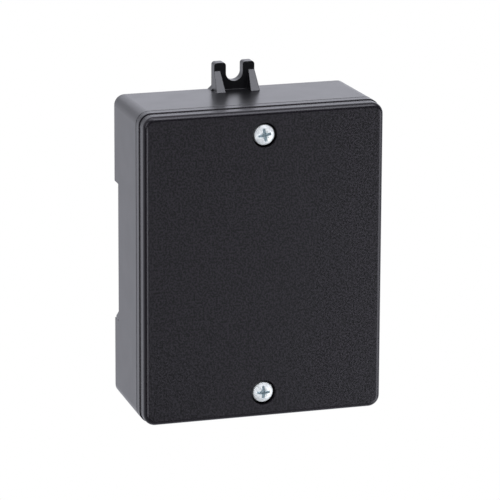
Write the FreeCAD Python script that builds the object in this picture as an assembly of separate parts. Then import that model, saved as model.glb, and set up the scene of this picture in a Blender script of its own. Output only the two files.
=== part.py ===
import FreeCAD, Part

import math
import os

from FreeCAD import Vector

# Four-channel relay module in a moulded case, for a 35 mm mounting rail or two wall screws.
# All sizes are in millimetres. X runs to the right as the front is faced, Y runs from the front
# into the wall, and Z runs up. The origin is the middle of the face that seats on the rail.

# Case
body_width = 70.8
body_height = 90.0
body_depth = 32.2
corner_radius = 3.6
side_draft = 0.6
wall = 2.0
seam_chamfer = 0.25

# Cover
cover_depth = 7.3
cover_band = 2.7
cover_step = 0.25
cover_edge_radius = 1.4
lip_height = 1.3
lip_thickness = 0.9
lip_clearance = 0.12
column_gap = 0.2

# Cover screws, with the bosses and columns round them
cover_screw_inset = 7.4
cover_head_radius = 3.0
cover_head_rim = 1.4
cover_head_crown = 0.9
cover_screw_radius = 1.45
cover_screw_length = 15.0
screw_point = 0.8
head_sink = 2.1
counterbore_radius = 3.6
screw_hole_radius = 1.7
column_radius = 5.0
boss_radius = 3.9
boss_web = 1.6
thread_clearance = 0.05
pilot_spare = 1.0
seat_gap = 0.03
cross_length = 3.4
cross_width = 0.85
cross_depth = 1.5
cross_taper = 0.4
crown_flat = 0.45
crown_shoulder = 0.82
crown_drop = 0.36

# Mounting rail, its recess and what grips it
rail_height = 35.0
rail_flange = 1.0
recess_depth = 4.2
recess_above = 1.8
recess_below = 3.8
rail_grip = 1.2
grip_clearance = 0.3
hook_width = 10.0
hook_offset = 17.0
hook_thickness = 1.9
window_gap = 0.3
tooth_start = 2.9
tooth_gap = 0.5
tooth_depth = 2.8
tooth_flat = 0.4

# Wall lug on the top edge, repeated on the latch at the bottom
lug_width = 12.0
lug_height = 8.0
lug_thickness = 2.9
slot_radius = 2.5
slot_centre = 5.0
arm_round = 0.9
gusset_width = 1.8
gusset_height = 5.6
gusset_reach = 4.2
gusset_spread = 0.45
flare_width = 1.1
flare_height = 1.0
root_overlap = 0.8

# Rail latch
latch_travel = 2.5
latch_flange = 1.5
latch_flange_thickness = 1.2
latch_flange_length = 18.0
latch_flange_start = 1.5
latch_stop_gap = 0.05
slide_clearance = 0.2
latch_ramp_length = 3.7
latch_tip_thickness = 0.9
spring_window_top = 3.2
spring_length = 10.0
spring_window_width = 3.8
stop_height = 1.8
stop_width = 3.2
stop_gap = 0.3
spring_radius = 1.12
spring_wire = 0.4
spring_turns = 4
spring_end_gap = 0.05
least_spring_gap = 0.4
spring_sides = 5

# Cable openings in the bottom wall
cable_opening_inset = 0.9
cable_opening_low = 0.6
cable_opening_high = 8.6
cable_opening_round = 1.0

# Circuit board
board_thickness = 1.6
board_gap = 0.6
solder_space = 3.0
notch_clearance = 0.5
board_screw_inset = 3.4
board_screw_drop = 4.8
board_screw_rise = 12.8
standoff_radius = 2.8
board_head_radius = 2.1
board_head_height = 1.3
board_screw_radius = 1.0
board_screw_length = 6.4
board_hole_radius = 1.5
board_cross_length = 2.2
board_cross_width = 0.55
board_cross_depth = 0.8

# Terminal blocks
poles_per_block = 5
block_inner_gap = 1.0
block_outer_gap = 1.622
block_headroom = 2.6
block_depth = 8.2
block_edge_gap = 0.4
block_slope = 3.6
block_slope_rise = 1.6
block_chamfer = 1.0
well_depth = 2.2
well_radius = 1.9
collar_thickness = 1.0
cage_wall = 0.7
cage_width = 3.8
cage_depth = 4.4
cage_clearance = 0.1
cage_spare = 0.4
cage_back = 1.6
cage_floor = 0.8
entry_width = 3.4
bar_thickness = 0.6
bar_width = 2.2
bar_leg = 0.5
bar_leg_gap = 0.2
terminal_head_radius = 1.8
terminal_head_height = 1.4
terminal_slot_width = 0.5
terminal_slot_depth = 0.8
terminal_screw_radius = 1.2
terminal_bite = 0.1

# Relays
relay_count = 4
relay_gap = 0.6
relay_edge_gap = 0.7
relay_headroom = 4.0
relay_drop = 12.1
relay_length = 19.2
relay_wall = 0.8
relay_edge_chamfer = 0.5
former_foot = 0.3
former_base = 1.8
former_gap = 0.1
former_flange = 0.8
flange_size = 11.0
coil_offset = 1.0
spool_radius = 2.4
core_radius = 1.7
core_clearance = 0.03
winding_radius = 5.0
yoke_thickness = 1.0
yoke_width = 7.0
yoke_reach = 7.8
pole_radius = 2.6
pole_thickness = 0.6
armature_gap = 0.42
armature_thickness = 1.0
armature_width = 8.0
armature_length = 10.6
hinge_gap = 0.12
leaf_thickness = 0.2
leaf_width = 3.0
leaf_reach = 3.2
contact_radius = 0.85
contact_height = 0.5
contact_rest_gap = 0.06
contact_travel = 0.5
blade_thickness = 0.4
blade_width = 3.0
blade_inset = 0.35
blade_shift = 4.0
blade_case_gap = 0.12

# Other parts on the board; a place is a share of the board's half width and half height
capacitor_radius = 5.0
capacitor_height = 12.5
capacitor_groove = 0.3
capacitor_groove_height = 1.6
capacitor_place = (-0.74, -0.24)
choke_radius = 4.2
choke_waist = 3.3
choke_height = 6.0
choke_flange = 1.0
choke_place = (-0.34, -0.285)
rectifier_length = 8.4
rectifier_width = 6.4
rectifier_place = (-0.74, -0.5)
chip_column = 0.18
driver_length = 10.3
driver_legs = 8
driver_light_gap = 2.173
controller_length = 12.8
controller_legs = 10
controller_driver_gap = 3.987
chip_width = 7.5
chip_height = 2.4
chip_lift = 0.15
chip_bevel = 0.25
leg_pitch = 1.27
leg_width = 0.42
leg_thickness = 0.25
leg_reach = 1.4
leg_foot = 0.8
rectifier_legs = 2
rectifier_leg_pitch = 5.08
light_width = 1.6
light_length = 3.2
light_base = 0.5
light_height = 1.2
light_drop = 3.9
button_size = 6.0
button_height = 3.5
button_place = (0.74, -0.285)
button_corner = 0.8
plunger_radius = 1.75
plunger_clearance = 0.1
plunger_height = 5.2
plunger_root = 0.9
plunger_travel = 0.25
plunger_collar = 2.2
plunger_collar_thickness = 0.7

# Sides of small round pieces that repeat, angles in degrees, and how near is near enough
round_sides = 16
thin_sides = 8
small_sides = 12
wide_sides = 24
quarter_turn = 90.0
full_turn = 360.0
near = 0.01
parallel = 0.999

# Places that follow from the sizes above
seat_y = 0.0
back_y = seat_y + recess_depth
front_y = back_y - body_depth
seam_y = front_y + cover_depth
deep_floor_y = back_y - wall
cover_inner_y = front_y + wall
half_width = body_width / 2
half_height = body_height / 2
cover_screw_offset = half_height - cover_screw_inset
ledge_top = rail_height / 2 + recess_above
ledge_bottom = -rail_height / 2 - recess_below
board_back_y = seat_y - wall - solder_space
board_front_y = board_back_y - board_thickness
screw_seat_y = front_y + head_sink
column_end_y = screw_seat_y + 2 * wall + lip_height
boss_top_y = column_end_y + column_gap
hook_y = seat_y + rail_flange + grip_clearance
latch_y = back_y - lug_thickness
latch_top = -rail_height / 2 + rail_grip
stop_bottom = ledge_bottom - spring_window_top - spring_length - stop_height


def block(x0, x1, y0, y1, z0, z1):
    """Box between two corners."""
    return Part.makeBox(x1 - x0, y1 - y0, z1 - z0, Vector(x0, y0, z0))


def rod(radius, x, z, y0, y1):
    """Cylinder along Y."""
    return Part.makeCylinder(radius, y1 - y0, Vector(x, y0, z), Vector(0, 1, 0))


def sided_rod(radius, x, z, y0, y1, sides, around=False):
    """Many-sided rod along Y, inside its circle or, where it cuts a hole, around it."""
    reach = radius / math.cos(math.pi / sides) if around else radius
    points = []
    for n in range(sides):
        angle = 2 * math.pi * (n + 0.5) / sides
        points.append((x + reach * math.cos(angle), z + reach * math.sin(angle)))
    return prism_y(points, y0, y1)


def prism_x(outline, x0, x1):
    """Outline of (y, z) points drawn out along X."""
    points = [Vector(x0, y, z) for y, z in outline]
    face = Part.Face(Part.makePolygon(points + points[:1]))
    return face.extrude(Vector(x1 - x0, 0, 0))


def prism_y(outline, y0, y1):
    """Outline of (x, z) points drawn out along Y."""
    points = [Vector(x, y0, z) for x, z in outline]
    face = Part.Face(Part.makePolygon(points + points[:1]))
    return face.extrude(Vector(0, y1 - y0, 0))


def joined(shapes):
    """One solid from pieces that touch or overlap."""
    return shapes[0].multiFuse(shapes[1:]).removeSplitter()


def group(shapes):
    """Separate solids kept under one name."""
    return Part.makeCompound(shapes)


def moved(shape, x=0.0, y=0.0, z=0.0):
    """Copy of a shape, carried sideways."""
    copy = shape.copy()
    copy.translate(Vector(x, y, z))
    return copy


def rounded_wire(half_x, half_z, radius, y):
    """Rectangle with round corners in the plane at y."""
    corners = [(1, 1), (-1, 1), (-1, -1), (1, -1)]

    def rim(corner, degrees):
        angle = math.radians(degrees)
        x = corner[0] * (half_x - radius) + radius * math.cos(angle)
        z = corner[1] * (half_z - radius) + radius * math.sin(angle)
        return Vector(x, y, z)

    edges = []
    for index, corner in enumerate(corners):
        start = quarter_turn * index
        end = start + quarter_turn
        following = corners[(index + 1) % len(corners)]
        arc = Part.Arc(rim(corner, start), rim(corner, (start + end) / 2), rim(corner, end))
        edges.append(arc.toShape())
        edges.append(Part.makeLine(rim(corner, end), rim(following, end)))
    return Part.Wire(edges)


def case_wire(inset, y):
    """Case outline, drawn in by an inset."""
    return rounded_wire(half_width - inset, half_height - inset, corner_radius - inset, y)


def case_loft(sections):
    """Solid through case outlines, each given as (inset, y)."""
    return Part.makeLoft([case_wire(inset, y) for inset, y in sections], True, True)


def draft_at(y):
    """How far the housing's side leans in at y."""
    return side_draft * (y - seam_y) / (back_y - seam_y)


# Board outline and what it carries: relays and terminal blocks share out its width
board_half_x = half_width - wall - draft_at(board_back_y) - board_gap
board_half_z = half_height - wall - draft_at(board_back_y) - board_gap
relay_width = (2 * (board_half_x - relay_edge_gap) - (relay_count - 1) * relay_gap) / relay_count
relay_pitch = relay_width + relay_gap
relay_centres = [relay_pitch * (n - (relay_count - 1) / 2) for n in range(relay_count)]
relay_z = board_half_z - relay_drop - relay_length / 2
block_inner_edge = boss_radius + notch_clearance + block_inner_gap
block_outer_edge = board_half_x - block_outer_gap
pole_pitch = (block_outer_edge - block_inner_edge) / poles_per_block


def board_place(shares):
    """Place on the board, from shares of its half width and half height."""
    return shares[0] * board_half_x, shares[1] * board_half_z


# The two chips stand in one column, the driver below the lights and the controller below the driver
light_z = relay_z - relay_length / 2 - light_drop
chip_x = chip_column * board_half_x
chip_reach = chip_width / 2 + leg_reach
driver_z = light_z - light_length / 2 - driver_light_gap - chip_reach
controller_z = driver_z - 2 * chip_reach - controller_driver_gap


def turned(profile, x, z):
    """Solid turned about Y from (radius, y) points."""
    points = [Vector(radius, y, 0) for radius, y in profile]
    face = Part.Face(Part.makePolygon(points + points[:1]))
    solid = face.revolve(Vector(0, 0, 0), Vector(0, 1, 0), full_turn)
    return moved(solid, x=x, z=z)


def edges_where(shape, wanted):
    """Edges whose middle point and direction answer the question."""
    edges = []
    for edge in shape.Edges:
        middle = edge.valueAt((edge.FirstParameter + edge.LastParameter) / 2)
        ends = [vertex.Point for vertex in edge.Vertexes]
        run = ends[-1] - ends[0] if len(ends) > 1 else Vector(0, 0, 0)
        if wanted(middle, run):
            edges.append(edge)
    return edges


def round_edges(shape, radius, wanted):
    """Fillet on the wanted edges."""
    return shape.makeFillet(radius, edges_where(shape, wanted))


def along(run, axis):
    """True when an edge runs along one axis."""
    parts = [abs(run.x), abs(run.y), abs(run.z)]
    return run.Length > 0 and parts[axis] > parallel * run.Length


def wall_lug(y0, y1, root, direction):
    """Plate with a U slot open at its end; direction 1 points up and -1 down."""
    tip = root + lug_height
    centre = root + slot_centre
    half = lug_width / 2
    plate = block(-half, half, y0, y1, root - root_overlap, tip)
    plate = plate.cut(rod(slot_radius, 0, centre, y0, y1))
    plate = plate.cut(block(-slot_radius, slot_radius, y0, y1, centre, tip))
    plate = round_edges(plate, arm_round, lambda p, run: along(run, 1) and abs(p.z - tip) < near)
    if direction < 0:
        plate = plate.mirror(Vector(0, 0, 0), Vector(0, 0, 1))
    return plate


def top_lug():
    """Wall lug of the housing, with its two gussets and flared root."""
    root = half_height - draft_at(back_y)
    lug = wall_lug(latch_y, back_y, root, 1)
    outer = lug_width / 2
    sunk = root - root_overlap
    slope = [(latch_y, root + gusset_height), (latch_y - gusset_reach, root),
             (latch_y - gusset_reach, sunk), (latch_y, sunk)]
    top = root + gusset_height
    inner = outer - gusset_width
    wedge = [(inner, top), (outer, top), (outer + gusset_spread, root), (outer + gusset_spread, sunk),
             (inner - gusset_spread, sunk), (inner - gusset_spread, root)]
    gusset = prism_x(slope, 0, lug_width).common(prism_y(wedge, latch_y - gusset_reach, latch_y))
    flare = [(outer, root + flare_height), (outer + flare_width, root),
             (outer + flare_width, sunk), (outer, sunk)]
    pieces = [lug, gusset, gusset.mirror(Vector(0, 0, 0), Vector(1, 0, 0))]
    pieces.append(prism_y(flare, latch_y, back_y))
    pieces.append(prism_y([(-x, z) for x, z in flare], latch_y, back_y))
    return joined(pieces)


def rail_hook(x):
    """Fixed hook that holds the rail's upper flange."""
    tip = rail_height / 2 - rail_grip
    outer = hook_y + hook_thickness
    profile = [(hook_y, ledge_top + root_overlap), (hook_y, tip), (hook_y + latch_tip_thickness, tip),
               (outer, tip + rail_grip), (outer, ledge_top + root_overlap)]
    return prism_x(profile, x - hook_width / 2, x + hook_width / 2)


def floor_window(x, width, z0, z1):
    """Window that the mould's core leaves in the recess floor under what reaches over it."""
    half = width / 2 + window_gap
    return block(x - half, x + half, seat_y - wall, seat_y, z0, z1)


def ramp_tooth(side):
    """Wedge in a lower corner of the recess, which leads the rail's edge to its seat."""
    under = ledge_bottom + tooth_gap
    profile = [(seat_y - wall / 2, ledge_bottom + tooth_start), (seat_y, ledge_bottom + tooth_start),
               (seat_y + tooth_depth, under + tooth_flat), (seat_y + tooth_depth, under),
               (seat_y - wall / 2, under)]
    edge = half_width - draft_at(seat_y)
    tooth = prism_x(profile, edge - wall, half_width)
    if side < 0:
        tooth = tooth.mirror(Vector(0, 0, 0), Vector(1, 0, 0))
    return tooth


def latch_channel():
    """T slot that the rail latch slides in; its wide part ends where the latch's flange stops."""
    neck = lug_width / 2 + slide_clearance
    wide = neck + latch_flange
    floor = latch_y - slide_clearance
    step = latch_y + latch_flange_thickness + slide_clearance
    flange_low = ledge_bottom - latch_flange_start - latch_flange_length
    slot = block(-wide, wide, floor, step, flange_low - latch_travel - latch_stop_gap, ledge_bottom)
    return slot.fuse(block(-neck, neck, floor, back_y, -body_height, ledge_bottom))


def spring_stop():
    """Block in the channel that the latch spring stands on."""
    half = stop_width / 2
    top = stop_bottom + stop_height
    return block(-half, half, latch_y - wall, back_y - slide_clearance, stop_bottom, top)


def cable_opening(side):
    """Opening in the bottom wall in front of a terminal block's entries."""
    low_y = board_front_y - cable_opening_high
    high_y = board_front_y - cable_opening_low
    inner = block_inner_edge + cable_opening_inset
    outer = block_outer_edge - cable_opening_inset
    hole = block(inner, outer, low_y, high_y, -half_height - wall, wall - board_half_z)
    hole = round_edges(hole, cable_opening_round, lambda p, run: along(run, 2))
    if side < 0:
        hole = hole.mirror(Vector(0, 0, 0), Vector(1, 0, 0))
    return hole


def board_screw_places():
    """The four places where the board is screwed down."""
    heights = (board_half_z - board_screw_drop, board_screw_rise - board_half_z)
    return [(side * (board_half_x - board_screw_inset), z) for z in heights for side in (-1, 1)]


def rear_housing():
    """Deep moulded box with the recess, bosses, lug and latch channel."""
    outside = case_loft([(seam_chamfer, seam_y), (draft_at(seam_y + seam_chamfer), seam_y + seam_chamfer),
                         (side_draft, back_y)])
    inside = case_loft([(wall, seam_y), (wall, deep_floor_y)])
    lip = case_loft([(wall - lip_thickness, seam_y - lip_height), (wall - lip_thickness, seam_y + wall)])
    lip = lip.cut(case_loft([(wall, seam_y - lip_height), (wall, seam_y + wall)]))
    neck = lug_width / 2 + slide_clearance + latch_flange + wall
    raised = [block(-half_width, half_width, seat_y - wall, back_y, ledge_bottom - wall, ledge_top + wall),
              block(-neck, neck, latch_y - slide_clearance - wall, back_y, -half_height, ledge_bottom)]
    pieces = [outside.cut(inside), lip] + [piece.common(outside) for piece in raised]
    for side in (-1, 1):
        z = side * cover_screw_offset
        pieces.append(sided_rod(boss_radius, 0, z, boss_top_y, back_y - wall / 2, wide_sides))
        web_end = side * (half_height - wall / 2)
        pieces.append(block(-boss_web / 2, boss_web / 2, boss_top_y + wall, back_y - wall / 2,
                            min(z, web_end), max(z, web_end)))
    for x, z in board_screw_places():
        pieces.append(sided_rod(standoff_radius, x, z, board_back_y, back_y - wall / 2, round_sides))
    body = joined(pieces + [top_lug()])
    body = body.cut(block(-body_width, body_width, seat_y, back_y + wall, ledge_bottom, ledge_top))
    body = body.cut(latch_channel())
    body = body.cut(floor_window(0, lug_width, ledge_bottom, latch_top + window_gap))
    additions = [spring_stop()]
    for side in (-1, 1):
        body = body.cut(floor_window(side * hook_offset, hook_width, rail_height / 2 - rail_grip, ledge_top))
        body = body.cut(cable_opening(side))
        additions.append(rail_hook(side * hook_offset))
        additions.append(ramp_tooth(side).common(outside))
    body = joined([body] + additions)
    pilot = cover_screw_radius + thread_clearance
    depth = screw_seat_y + cover_screw_length + pilot_spare
    small = board_screw_radius + thread_clearance
    small_depth = board_front_y + board_screw_length + pilot_spare / 2
    for side in (-1, 1):
        z = side * cover_screw_offset
        body = body.cut(sided_rod(pilot, 0, z, boss_top_y, depth, round_sides, True))
    for x, z in board_screw_places():
        body = body.cut(sided_rod(small, x, z, board_back_y, small_depth, thin_sides, True))
    return body.removeSplitter()


def front_cover():
    """Shallow moulded cover with a stepped side, a round front edge and two screw columns."""
    step_y = seam_y - cover_band
    band = case_loft([(seam_chamfer, seam_y), (0, seam_y - seam_chamfer), (0, step_y)])
    face = Part.Face(case_wire(cover_step, step_y)).extrude(Vector(0, front_y - step_y, 0))
    face = round_edges(face, cover_edge_radius, lambda p, run: abs(p.y - front_y) < near)
    body = joined([band, face])
    body = body.cut(case_loft([(wall, seam_y), (wall, cover_inner_y)]))
    groove = wall - lip_thickness - lip_clearance
    body = body.cut(case_loft([(groove, seam_y), (groove, seam_y - lip_height - column_gap)]))
    for side in (-1, 1):
        z = side * cover_screw_offset
        column = sided_rod(column_radius, 0, z, front_y + wall / 2, column_end_y, wide_sides)
        body = joined([body, column.common(case_loft([(wall, column_end_y), (wall, front_y)]))])
        body = body.cut(rod(counterbore_radius, 0, z, front_y, screw_seat_y))
        body = body.cut(sided_rod(screw_hole_radius, 0, z, front_y, column_end_y, round_sides, True))
    return body.removeSplitter()


def cross_recess(top_y, length, width, depth):
    """Cross for a screwdriver, whose arms narrow towards its bottom."""
    wide = length / 2
    narrow = wide * cross_taper
    outline = [(top_y, -wide), (top_y, wide), (top_y + depth, narrow), (top_y + depth, -narrow)]
    arm = prism_x(outline, -width / 2, width / 2)
    other = arm.copy()
    other.rotate(Vector(0, 0, 0), Vector(0, 1, 0), quarter_turn)
    return arm.fuse(other)


def cover_screw(side):
    """One of the two pan-head screws that hold the cover."""
    seat = screw_seat_y - seat_gap
    rim = seat - cover_head_rim
    top = rim - cover_head_crown
    tip = seat + cover_screw_length
    radius = cover_screw_radius
    profile = [(0, top), (cover_head_radius * crown_flat, top),
               (cover_head_radius * crown_shoulder, top + cover_head_crown * crown_drop),
               (cover_head_radius, rim), (cover_head_radius, seat), (0, seat)]
    head = turned(profile, 0, 0).cut(cross_recess(top, cross_length, cross_width, cross_depth))
    shank = sided_rod(radius, 0, 0, seat, tip - screw_point, round_sides)
    point = sided_rod(radius - screw_point / 2, 0, 0, tip - screw_point, tip, round_sides)
    screw = joined([head, shank, point])
    return moved(screw, z=side * cover_screw_offset)


def board_screws():
    """The four screws that hold the board."""
    top = board_front_y - board_head_height
    head = sided_rod(board_head_radius, 0, 0, top, board_front_y, round_sides)
    shank = sided_rod(board_screw_radius, 0, 0, board_front_y, board_front_y + board_screw_length, thin_sides)
    screw = head.fuse(shank)
    screw = screw.cut(cross_recess(top, board_cross_length, board_cross_width, board_cross_depth))
    return group([moved(screw, x=x, z=z) for x, z in board_screw_places()])


def rail_latch():
    """Sliding plate that holds the rail's lower flange and ends in a slotted lug."""
    half = lug_width / 2
    root = half_height - draft_at(back_y)
    ramp = [(latch_y, latch_top), (latch_y + latch_tip_thickness, latch_top),
            (back_y, latch_top - latch_ramp_length), (back_y, -root), (latch_y, -root)]
    plate = prism_x(ramp, -half, half)
    flange_top = ledge_bottom - latch_flange_start
    flange = block(-half - latch_flange, half + latch_flange, latch_y, latch_y + latch_flange_thickness,
                   flange_top - latch_flange_length, flange_top)
    latch = joined([plate, flange, wall_lug(latch_y, back_y, root, -1)])
    half_window = spring_window_width / 2
    window = block(-half_window, half_window, latch_y, back_y, stop_bottom - stop_gap,
                   ledge_bottom - spring_window_top)
    return latch.cut(window).removeSplitter()


def helix_point(turns, base_z, pitch):
    """Point and direction of travel on the spring's centre line."""
    angle = 2 * math.pi * turns
    middle_y = (latch_y + back_y) / 2
    point = Vector(spring_radius * math.cos(angle), middle_y + spring_radius * math.sin(angle),
                   base_z + pitch * turns)
    travel = Vector(-spring_radius * math.sin(angle), spring_radius * math.cos(angle), pitch / (2 * math.pi))
    return point, travel.normalize()


def tangent_arc(start, travel, end):
    """Arc that leaves start along travel and ends at end."""
    chord = end - start
    unit = Vector(chord).normalize()
    side = travel - unit * travel.dot(unit)
    angle = math.acos(max(-1.0, min(1.0, travel.dot(unit))))
    middle = (start + end) * 0.5 + side.normalize() * (chord.Length / 2 * math.tan(angle / 2))
    return Part.Arc(start, middle, end).toShape()


def two_arcs(first, second):
    """Pair of arcs that joins two points with their directions."""
    (p0, t0), (p1, t1) = first, second
    gap = p1 - p0
    both = t0 + t1
    spread = 2 * (1 - t0.dot(t1))
    reach = (-gap.dot(both) + math.sqrt(gap.dot(both) ** 2 + spread * gap.dot(gap))) / spread
    middle = (p0 + t0 * reach + p1 - t1 * reach) * 0.5
    return [tangent_arc(p0, t0, middle), tangent_arc(p1, t1 * -1, middle)]


def latch_spring():
    """Coil spring between the stop and the latch, as one tube along a helix of arcs."""
    wire_radius = spring_wire / 2
    margin = wire_radius + spring_end_gap
    base_z = ledge_bottom - spring_window_top - spring_length + margin
    pitch = (spring_length - 2 * margin) / spring_turns
    halves = [helix_point(n / 2, base_z, pitch) for n in range(2 * spring_turns + 1)]
    edges = []
    for first, second in zip(halves, halves[1:]):
        edges.extend(two_arcs(first, second))
    path = Part.Wire(Part.sortEdges(edges)[0])
    start, travel = halves[0]
    across = Vector(1, 0, 0)
    upwards = travel.cross(across).normalize()
    corners = []
    for n in range(spring_sides):
        angle = 2 * math.pi * n / spring_sides
        outward = across * math.cos(angle) + upwards * math.sin(angle)
        corners.append(start + outward * wire_radius)
    profile = Part.makePolygon(corners + corners[:1])
    spring = path.makePipeShell([profile], True, False)
    gap = pitch - spring_wire
    ideal = path.Length * Part.Face(profile).Area
    print(f"latch spring: least gap {gap:.2f} mm, allowed {least_spring_gap} mm")
    print(f"latch spring: volume {spring.Volume:.3f}, section times length {ideal:.3f} cubic mm")
    return spring


def circuit_board():
    """Board with a notch round each cover screw boss and four screw holes."""
    board = Part.Face(rounded_wire(board_half_x, board_half_z, corner_radius - wall, board_front_y))
    board = board.extrude(Vector(0, board_thickness, 0))
    notch = boss_radius + notch_clearance
    for side in (-1, 1):
        z = side * cover_screw_offset
        edge = side * half_height
        board = board.cut(sided_rod(notch, 0, z, board_front_y, board_back_y, wide_sides, True))
        board = board.cut(block(-notch, notch, board_front_y, board_back_y, min(z, edge), max(z, edge)))
    for x, z in board_screw_places():
        board = board.cut(sided_rod(board_hole_radius, x, z, board_front_y, board_back_y, round_sides, True))
    return board


# Terminal planes: heights are counted forwards from the board's face
block_low_z = block_edge_gap - board_half_z
block_high_z = block_low_z + block_depth
block_front_y = seam_y + block_headroom
well_floor_y = block_front_y + well_depth
cavity_front_y = well_floor_y + collar_thickness
cavity_back_y = board_front_y - cage_floor
cage_z = block_low_z + cage_back + cage_depth / 2 + cage_clearance
cage_back_y = cavity_back_y - cage_clearance
cage_stack = 2 * (cage_wall + cage_clearance) + bar_thickness
cage_height = (cage_back_y - cavity_front_y - cage_spare + cage_stack) / 2
cage_front_y = cage_back_y - cage_height
bar_front_y = cage_front_y + cage_wall + cage_clearance
cage_travel = (cage_back_y - cage_wall) - (bar_front_y + bar_thickness) - cage_clearance
pole_places = [block_inner_edge + pole_pitch * (n + 1 / 2) for n in range(poles_per_block)]
pole_xs = [-x for x in reversed(pole_places)] + pole_places


def terminal_block(side):
    """Five-pole block with a screw well, a cage cavity and a wire entry for each pole."""
    profile = [(board_front_y, block_low_z), (block_front_y + block_slope, block_low_z),
               (block_front_y, block_low_z + block_slope_rise), (block_front_y, block_high_z - block_chamfer),
               (block_front_y + block_chamfer, block_high_z), (board_front_y, block_high_z)]
    body = prism_x(profile, block_inner_edge, block_outer_edge)
    half_cage = cage_width / 2 + cage_clearance
    cavity_low = cage_z - cage_depth / 2 - cage_clearance
    leg_space = cage_depth / 2 + bar_leg_gap + bar_leg + cage_clearance
    for x in pole_places:
        half_entry = entry_width / 2
        body = body.cut(sided_rod(well_radius, x, cage_z, block_front_y, well_floor_y, round_sides, True))
        body = body.cut(sided_rod(terminal_screw_radius + thread_clearance, x, cage_z, well_floor_y,
                                  cavity_front_y, thin_sides, True))
        body = body.cut(block(x - half_cage, x + half_cage, cavity_front_y, cavity_back_y, cavity_low,
                              cage_z + leg_space))
        body = body.cut(block(x - half_entry, x + half_entry, bar_front_y + bar_thickness,
                              cage_back_y - cage_wall, block_low_z, cavity_low))
        body = body.cut(block(x - bar_width / 2 - cage_clearance, x + bar_width / 2 + cage_clearance,
                              cavity_back_y, board_front_y, cage_z + leg_space - bar_leg - 2 * cage_clearance,
                              cage_z + leg_space))
    if side < 0:
        body = body.mirror(Vector(0, 0, 0), Vector(1, 0, 0))
    return body


def wire_cage():
    """Rising cage: a square ring with a threaded hole in its front wall."""
    half_x = cage_width / 2
    half_z = cage_depth / 2
    cage = block(-half_x, half_x, cage_front_y, cage_back_y, cage_z - half_z, cage_z + half_z)
    cage = cage.cut(block(cage_wall - half_x, half_x - cage_wall, cage_front_y + cage_wall,
                          cage_back_y - cage_wall, cage_z - half_z, cage_z + half_z))
    hole = terminal_screw_radius + thread_clearance
    return cage.cut(sided_rod(hole, 0, cage_z, cage_front_y, cage_front_y + cage_wall, thin_sides, True))


def terminal_screw():
    """Slotted screw held in its well, whose thread raises the cage."""
    seat = well_floor_y - seat_gap
    top = seat - terminal_head_height
    tip = cage_front_y + cage_wall + terminal_bite / 2
    screw = sided_rod(terminal_head_radius, 0, cage_z, top, seat, round_sides)
    screw = screw.fuse(sided_rod(terminal_screw_radius, 0, cage_z, seat, tip, thin_sides))
    half_slot = terminal_slot_width / 2
    return screw.cut(block(-cage_width, cage_width, top, top + terminal_slot_depth, cage_z - half_slot,
                           cage_z + half_slot))


def terminal_bar():
    """Fixed bar that the wire is pressed against, with the leg that stands on the board."""
    half = bar_width / 2
    leg_z = cage_z + cage_depth / 2 + bar_leg_gap
    start_z = cage_z - cage_depth / 2
    back = bar_front_y + bar_thickness
    profile = [(bar_front_y, start_z), (back, start_z), (back, leg_z), (board_front_y, leg_z),
               (board_front_y, leg_z + bar_leg), (bar_front_y, leg_z + bar_leg)]
    return prism_x(profile, -half, half)


# Relay planes: v is counted forwards from the board, u sideways and w upwards from the relay's middle
relay_height = board_front_y - cover_inner_y - relay_headroom
former_top = former_foot + former_base
spool_bottom = former_top + yoke_thickness
leaf_high = (relay_height - relay_wall - blade_case_gap - blade_thickness - contact_rest_gap
             - contact_height)
armature_high = leaf_high - leaf_thickness
armature_low = armature_high - armature_thickness
pole_top = armature_low - armature_gap
spool_top = pole_top - pole_thickness
coil_w = -coil_offset
hinge_w = coil_w + yoke_reach - yoke_thickness / 2
armature_end = hinge_w + yoke_thickness / 2 - armature_length
moving_contact_w = armature_end - leaf_reach + contact_radius
blade_foot_w = relay_wall + blade_inset - relay_length / 2


def relay_block(u0, u1, v0, v1, w0, w1):
    """Box in a relay's own directions."""
    return block(u0, u1, board_front_y - v1, board_front_y - v0, relay_z + w0, relay_z + w1)


def relay_rod(radius, w, v0, v1):
    """Round piece that stands out from the board inside a relay."""
    return sided_rod(radius, 0, relay_z + w, board_front_y - v1, board_front_y - v0, small_sides)


def relay_case():
    """Thin moulded hood, open to the board."""
    half_u = relay_width / 2
    half_w = relay_length / 2
    hood = relay_block(-half_u, half_u, 0, relay_height, -half_w, half_w)
    hood = hood.makeChamfer(relay_edge_chamfer, edges_where(hood, lambda p, run: along(run, 1)))
    return hood.cut(relay_block(relay_wall - half_u, half_u - relay_wall, 0, relay_height - relay_wall,
                                relay_wall - half_w, half_w - relay_wall))


def relay_former():
    """Base and coil spool, moulded in one piece."""
    half_u = relay_width / 2 - relay_wall - former_gap
    half_w = relay_length / 2 - relay_wall - former_gap
    half_flange = flange_size / 2
    cheek = yoke_width / 2 + core_clearance
    low, high = coil_w - half_flange, coil_w + half_flange
    pieces = [relay_block(-half_u, half_u, former_foot, former_top, -half_w, half_w)]
    for side in (-1, 1):
        u0, u1 = sorted((side * cheek, side * half_flange))
        pieces.append(relay_block(u0, u1, former_top, spool_bottom, low, high))
        for foot in (-1, 1):
            u = side * (half_u - former_base / 2)
            w = foot * (half_w - former_base / 2)
            pieces.append(relay_block(u - former_base / 2, u + former_base / 2, 0, former_foot,
                                      w - former_base / 2, w + former_base / 2))
    top_of_lower = spool_bottom + former_flange
    bottom_of_upper = spool_top - former_flange
    pieces.append(relay_block(-half_flange, half_flange, spool_bottom, top_of_lower, low, high))
    pieces.append(relay_block(-half_flange, half_flange, bottom_of_upper, spool_top, low, high))
    pieces.append(relay_rod(spool_radius, coil_w, top_of_lower, bottom_of_upper))
    former = joined(pieces)
    return former.cut(relay_rod(core_radius + core_clearance, coil_w, spool_bottom, spool_top))


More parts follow.
